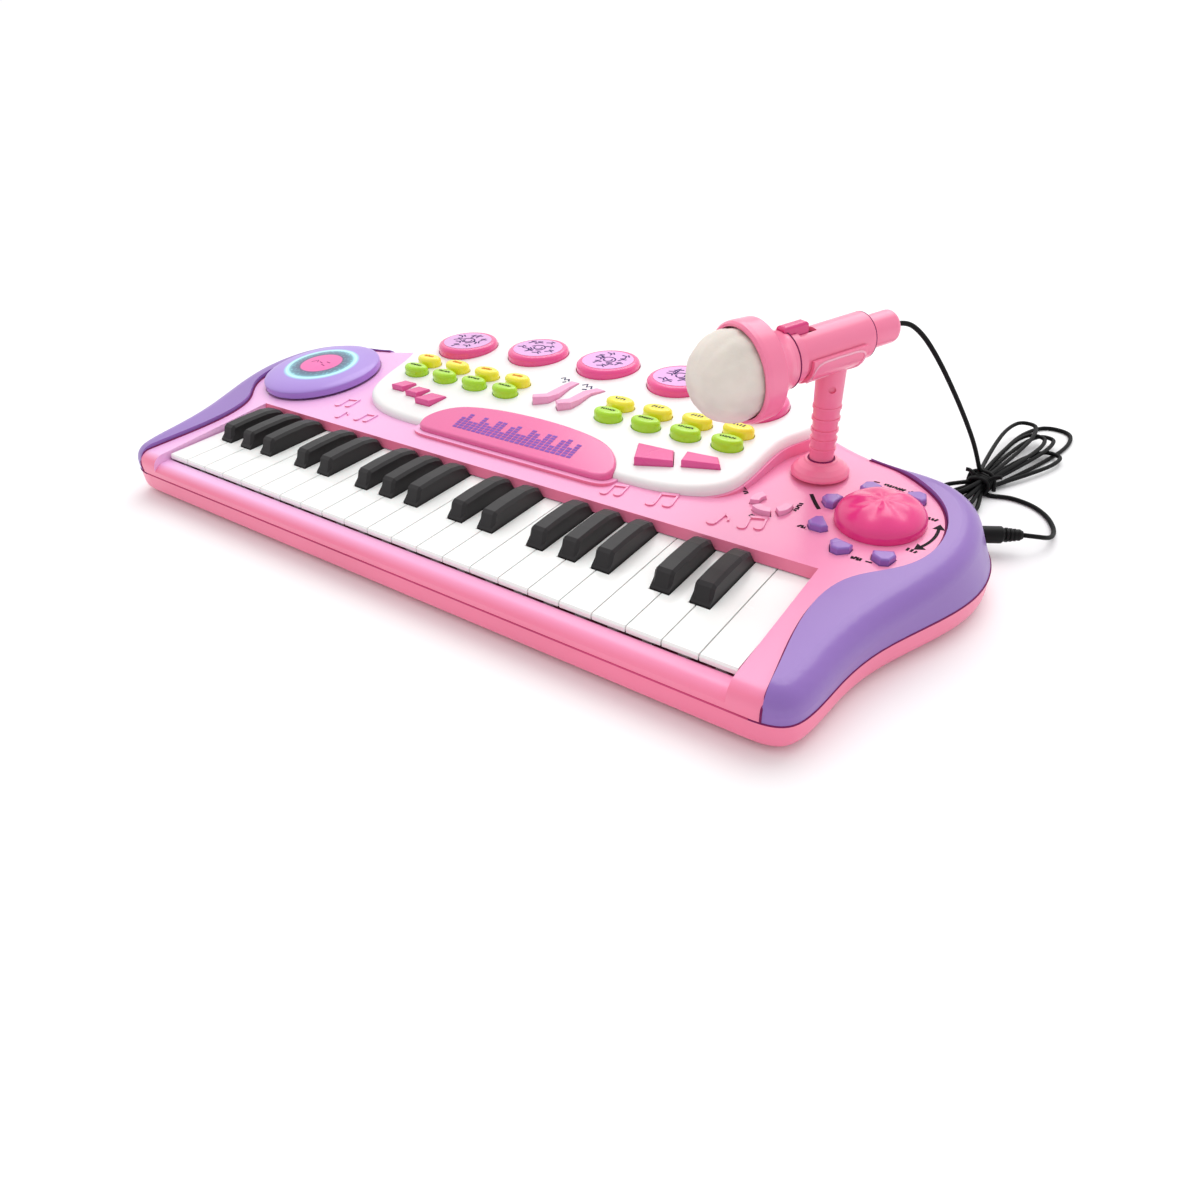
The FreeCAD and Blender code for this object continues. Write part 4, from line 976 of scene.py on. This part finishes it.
def make_seams():
    """Thin dark joint lines: round the case where the shells meet, and where purple meets pink."""
    half = plan_line(SEAM_PLAN)
    ring = [Vector((x, y, SEAM_HEIGHT)) * MM for x, y in [(-x, y) for x, y in half][::-1] + half]
    shapes = [tube_shape(ring, 0.4)]
    for side in (1, -1):
        line = [land("top_case", side * (x - 0.6), y, 0.15) for x, y in plan_line(CHEEK_PLAN)]
        top = [p for p in line if p.y > -0.114]
        front = [front_point("top_case", side * 208.2, z) for z in (15.5, 17.5, 19.5, 21.5)]
        shapes.append(tube_shape([p for p in front if p is not None] + top, 0.5))
    tubes("case_seams", shapes, "case", SEAM)


def make_front_seam():
    """The same joint line along the straight front, softer."""
    edge, steps = WAIST - 22.0, 30
    line = [Vector((edge - 2 * edge * k / steps, FRONT_EDGE, SEAM_HEIGHT)) * MM for k in range(steps + 1)]
    tubes("front_seam", [tube_shape(line, 0.45)], "case", SOFT_SEAM)


def full_turn(count):
    """Angles of a closed ring, its first angle repeated at its end."""
    return [2 * math.pi * k / count for k in range(count + 1)]


def bent(value, power):
    """Power that keeps the sign, for a ring with squared corners."""
    return math.copysign(abs(value) ** power, value)


def make_cradle_rims():
    """Raised rim round each cheek of the cradle, coloured light pink as a painted highlight along its edge."""
    along, upward, origin = mic_axes()
    side = along.cross(upward)
    radius, middle, half_long = 13.1, 6.5, 14.6
    shapes = []
    for sign in (1, -1):
        rim = []
        for angle in full_turn(32):
            s = middle + half_long * bent(math.cos(angle), 0.35)
            turn = math.radians(52) + math.radians(34) * bent(math.sin(angle), 0.5)
            out = side * math.sin(turn) * sign - upward * math.cos(turn)
            rim.append(origin + along * s * MM + out * radius * MM)
        shapes.append(tube_shape(rim, 0.55))
    tubes("cradle_highlight_rims", shapes, "case", PAINTED_HIGHLIGHT_RIM)


def make_mic_joint_lines():
    """Joint line before the bell, and the one where the tail starts: place along the axis, radius."""
    along, upward, origin = mic_axes()
    side = along.cross(upward)
    shapes = []
    for s, reach in ((29.6, 13.35), (-15.6, 10.75)):
        ring = [origin + along * s * MM + (upward * math.cos(a) + side * math.sin(a)) * reach * MM
                for a in full_turn(48)]
        shapes.append(tube_shape(ring, 0.28))
    tubes("mic_joint_lines", shapes, "mic", SEAM)


def make_collar_line():
    """Dark ring where the stem leaves the collar of its foot."""
    radius, height = 6.5, 45.34
    ring = [Vector((STAND[0] + radius * math.cos(a), STAND[1] + radius * math.sin(a), height)) * MM
            for a in full_turn(40)]
    tubes("collar_line", [tube_shape(ring, 0.45)], "case", SEAM)


# ---------------------------------------------------------------- make it all

make_camera()
make_world()
make_sun()
make_floor()
paint_nodes()
make_cord()
make_display_bars()
make_button_marks()
make_pad_labels()
make_reliefs()
make_right_marks()
make_panel_marks()
make_disc_marks()
make_grille()
make_dome()
make_seams()
make_front_seam()
make_cradle_rims()
make_mic_joint_lines()
make_collar_line()
